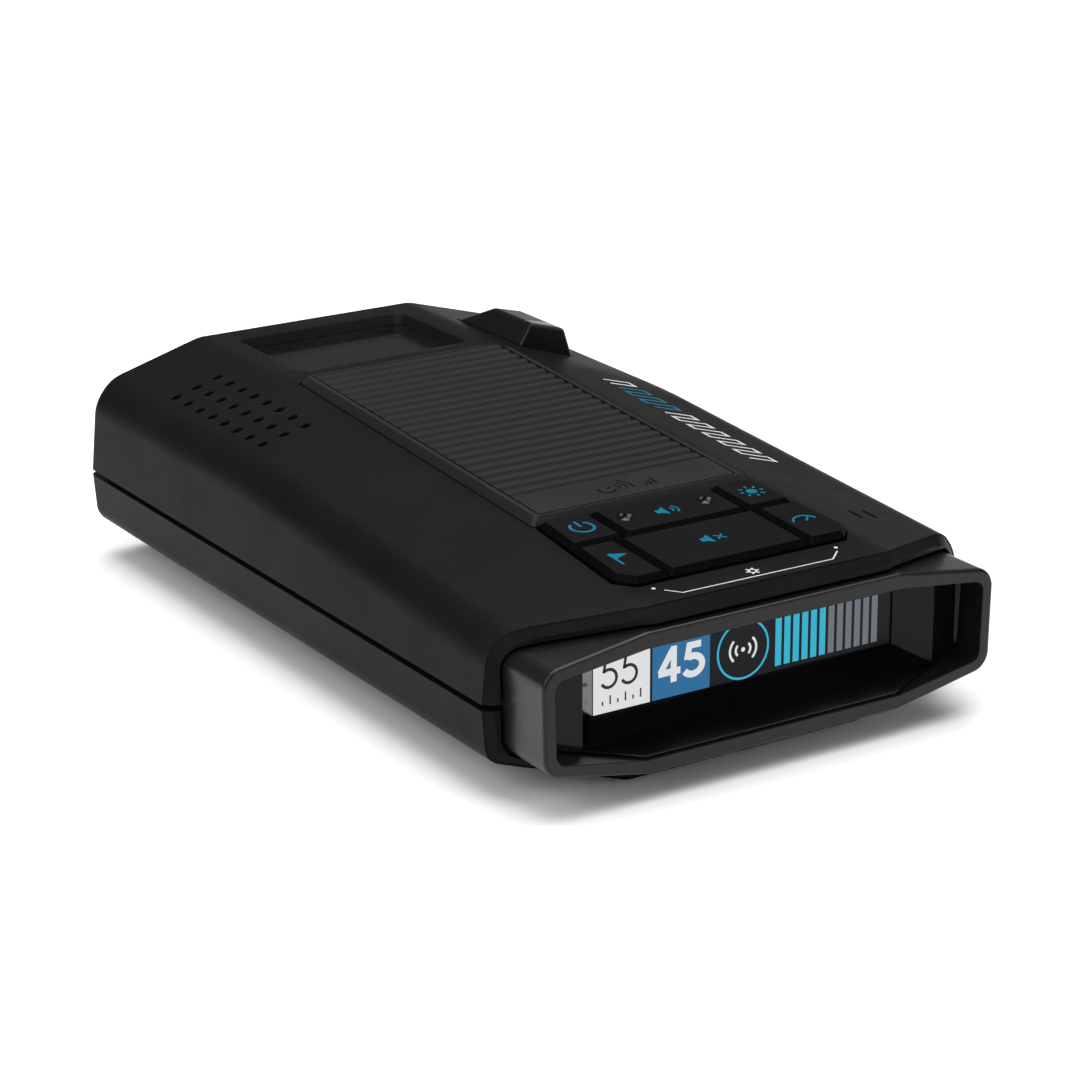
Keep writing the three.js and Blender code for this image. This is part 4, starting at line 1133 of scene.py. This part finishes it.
def display_picture():
    white = lit("lit_white", (0.78, 0.79, 0.8), 0.92)
    blue = lit("lit_blue", (0.02, 0.14, 0.31), 1.0)
    cyan = lit("lit_cyan", (0.03, 0.42, 0.6), 1.0)
    grey = lit("lit_grey", (0.17, 0.2, 0.22), 0.8)
    ink = lit("unlit_dark", (0.02, 0.018, 0.018), 1.0)
    dark = lit("unlit_ground", (0.002, 0.003, 0.004), 1.0)
    low, high = 11.1, 19.5
    screen_patch("picture_black", bars([(-26.2, 10.6, 25.6, 20.0)]), dark, 0)
    screen_patch("speed_tile", bars([(-25.3, low, -16.0, high)]), white, 1)
    screen_patch("limit_tile", bars([(-15.6, low, -6.0, high)]), blue, 1)
    speed = five(-23.7, 14.7, 2.2, 4.2, 0.46) + five(-20.4, 14.7, 2.2, 4.2, 0.46)
    screen_patch("speed_number", speed, ink, 2)
    ticks = bars([(-23.9 + i * 1.25, 12.2, -23.65 + i * 1.25, 12.8 + 0.7 * (i % 2)) for i in range(6)])
    screen_patch("speed_ticks", ticks, ink, 2)
    limit = four(-14.3, 13.7, 3.1, 4.3, 1.0) + five(-10.0, 13.7, 2.7, 4.3, 1.0)
    screen_patch("limit_number", limit, white, 2)
    ring = arc_points(-0.35, 15.5, 4.3, 0, 360, 48)[:-1]
    screen_patch("band_ring", stroke(ring, 0.32, closed=True), cyan, 1)
    for side in (-1, 1):
        for reach in (1.0, 2.0):
            turn = 0 if side > 0 else 180
            arc = arc_points(-0.35 + side * 0.25, 15.5, reach, turn - 48, turn + 48, 10)
            screen_patch("band_wave", stroke(arc, 0.36), white, 1)
    screen_patch("band_dot", disc(-0.35, 15.5, 0.34, 16), white, 1)
    for i in range(12):
        left = 5.2 + i * 1.54
        screen_patch("level_bar", bars([(left, 11.8, left + 1.05, 18.9)]), cyan if i < 6 else grey, 1)


display_picture()


# ---- marks on the keys and roof ----
def deck_surface(x, y, w):
    """A point w above the falling roof plane, at x, y in plan."""
    return on_deck(x, y / math.cos(DECK_ANGLE), w)


def key_surface(x, y, w):
    return deck_surface(x, y, KEY_RISE + w)


def key_mark(name, body, polygons):
    figure(name, polygons, key_surface, body, TEAL_INK, thick=0.012)


def speaker_sign(cx, cy, scale):
    horn = [(-1.1, -0.42), (-0.6, -0.42), (0.2, -1.05), (0.2, 1.05), (-0.6, 0.42), (-1.1, 0.42)]
    return [[(x * scale + cx, y * scale + cy) for x, y in horn]]


def key_marks():
    ring = stroke(arc_points(-14.1, 27.6, 1.75, 125, 415, 28), 0.42)
    key_mark("mark_power", "power_button", ring + bars([(-14.31, 27.8, -13.89, 29.8)]))
    sound = speaker_sign(-0.3, 27.3, 1.3) + stroke(arc_points(0.3, 27.3, 0.8, -45, 45, 8), 0.3)
    sound += stroke(arc_points(0.3, 27.3, 1.6, -45, 45, 10), 0.3)
    key_mark("mark_volume", "volume_rocker", sound)
    sun = disc(15.2, 27.6, 0.85)
    for i in range(8):
        angle = math.pi * i / 4
        points = [(15.2 + r * math.cos(angle), 27.6 + r * math.sin(angle)) for r in (1.3, 2.0)]
        sun += stroke(points, 0.32)
    key_mark("mark_brightness", "brightness_button", sun)
    flag = bars([(-16.6, 13.6, -16.2, 17.6)]) + [[(-16.2, 17.6), (-13.9, 16.6), (-16.2, 15.6)]]
    key_mark("mark_flag", "mark_button", flag)
    mute = speaker_sign(-0.7, 15.6, 1.3)
    mute += stroke([(0.4, 14.9), (1.8, 16.3)], 0.32) + stroke([(0.4, 16.3), (1.8, 14.9)], 0.32)
    key_mark("mark_mute", "mute_button", mute)
    gauge = stroke(arc_points(15.4, 14.6, 1.9, 10, 170, 20), 0.34)
    gauge += stroke([(15.4, 14.6), (16.5, 15.8)], 0.32)
    key_mark("mark_sensitivity", "sensitivity_button", gauge)


def roof_print():
    """White marks printed on the shell itself."""
    line = stroke([(-15, 5.8), (-13.25, 3.9), (11.9, 3.65), (14.2, 5.7)], 0.22)
    cx, cy = -0.5, 5.5
    settings = stroke(arc_points(cx, cy, 0.55, 0, 360, 16)[:-1], 0.26, closed=True)
    for i in range(6):
        angle = math.pi * i / 3
        settings += stroke([(cx + r * math.cos(angle), cy + r * math.sin(angle)) for r in (0.7, 1.05)], 0.3)
    dots = disc(-16, 6.9, 0.3, 16) + disc(14.8, 6.8, 0.3, 16)
    figure("print_settings", line + settings + dots, deck_surface, "root", WHITE_INK,
           thick=0.015, sunk=0.06)


key_marks()
roof_print()


def slope_spot(x, y, w):
    return (x, y, roof_at(x, y) + w)


def meander(start, count, pitch):
    """A slanted square wave along the right slope, in place of a name."""
    inner, outer, lean = 26.9, 30.6, 1.7
    points = []
    for i in range(count):
        y = start - i * pitch
        points += [(inner, y), (outer, y - lean), (outer, y - lean - pitch / 2), (inner, y - pitch / 2)]
    return stroke(points, 0.42)


def slope_print():
    for name, ink, start, count in (("print_rear", WHITE_INK, 84.2, 1), ("print_teal", TEAL_INK, 79.8, 3),
                                    ("print_front", WHITE_INK, 66.7, 6)):
        figure(name, meander(start, count, 4.1), slope_spot, "root", ink,
               thick=0.015, sunk=0.06)


slope_print()


# ---- floor and lights ----
def studio():
    floor = new_object("studio_floor", box(-3000, 3000, -3000, 3000, -4, -0.02))
    pale = Shader("studio_pale", (0.93, 0.93, 0.93), 0.85, specular=0.1)
    pale.vary_color(900, 0.01)
    floor.data.materials.append(pale.material)


LIGHT_AIM = (0, 66, 10)


def softbox(name, x, y, z, width, depth, power):
    """A rectangular area light at x, y, z millimetres, turned towards the object."""
    light = bpy.data.lights.new(name, "AREA")
    light.shape = "RECTANGLE"
    light.size = width * MM
    light.size_y = depth * MM
    light.energy = power
    obj = new_object(name, light)
    obj.matrix_world = Matrix.Translation(place(x, y, z))
    way = place(*LIGHT_AIM) - place(x, y, z)
    obj.rotation_euler = way.to_track_quat("-Z", "Y").to_euler()


def surroundings(level):
    world = bpy.data.worlds.new("studio_air")
    world.use_nodes = True
    world.node_tree.nodes["Background"].inputs["Color"].default_value = (level, level, level, 1)
    bpy.context.scene.world = world


studio()
surroundings(0.17)
softbox("light_left", -620, -60, 420, 700, 500, 3)
softbox("light_top", 60, 100, 900, 1100, 1100, 15)
softbox("light_front", 300, -700, 300, 600, 300, 1.5)
softbox("light_far", 900, 1300, 70, 1300, 120, 0.7)
bpy.context.scene.view_settings.view_transform = "Standard"
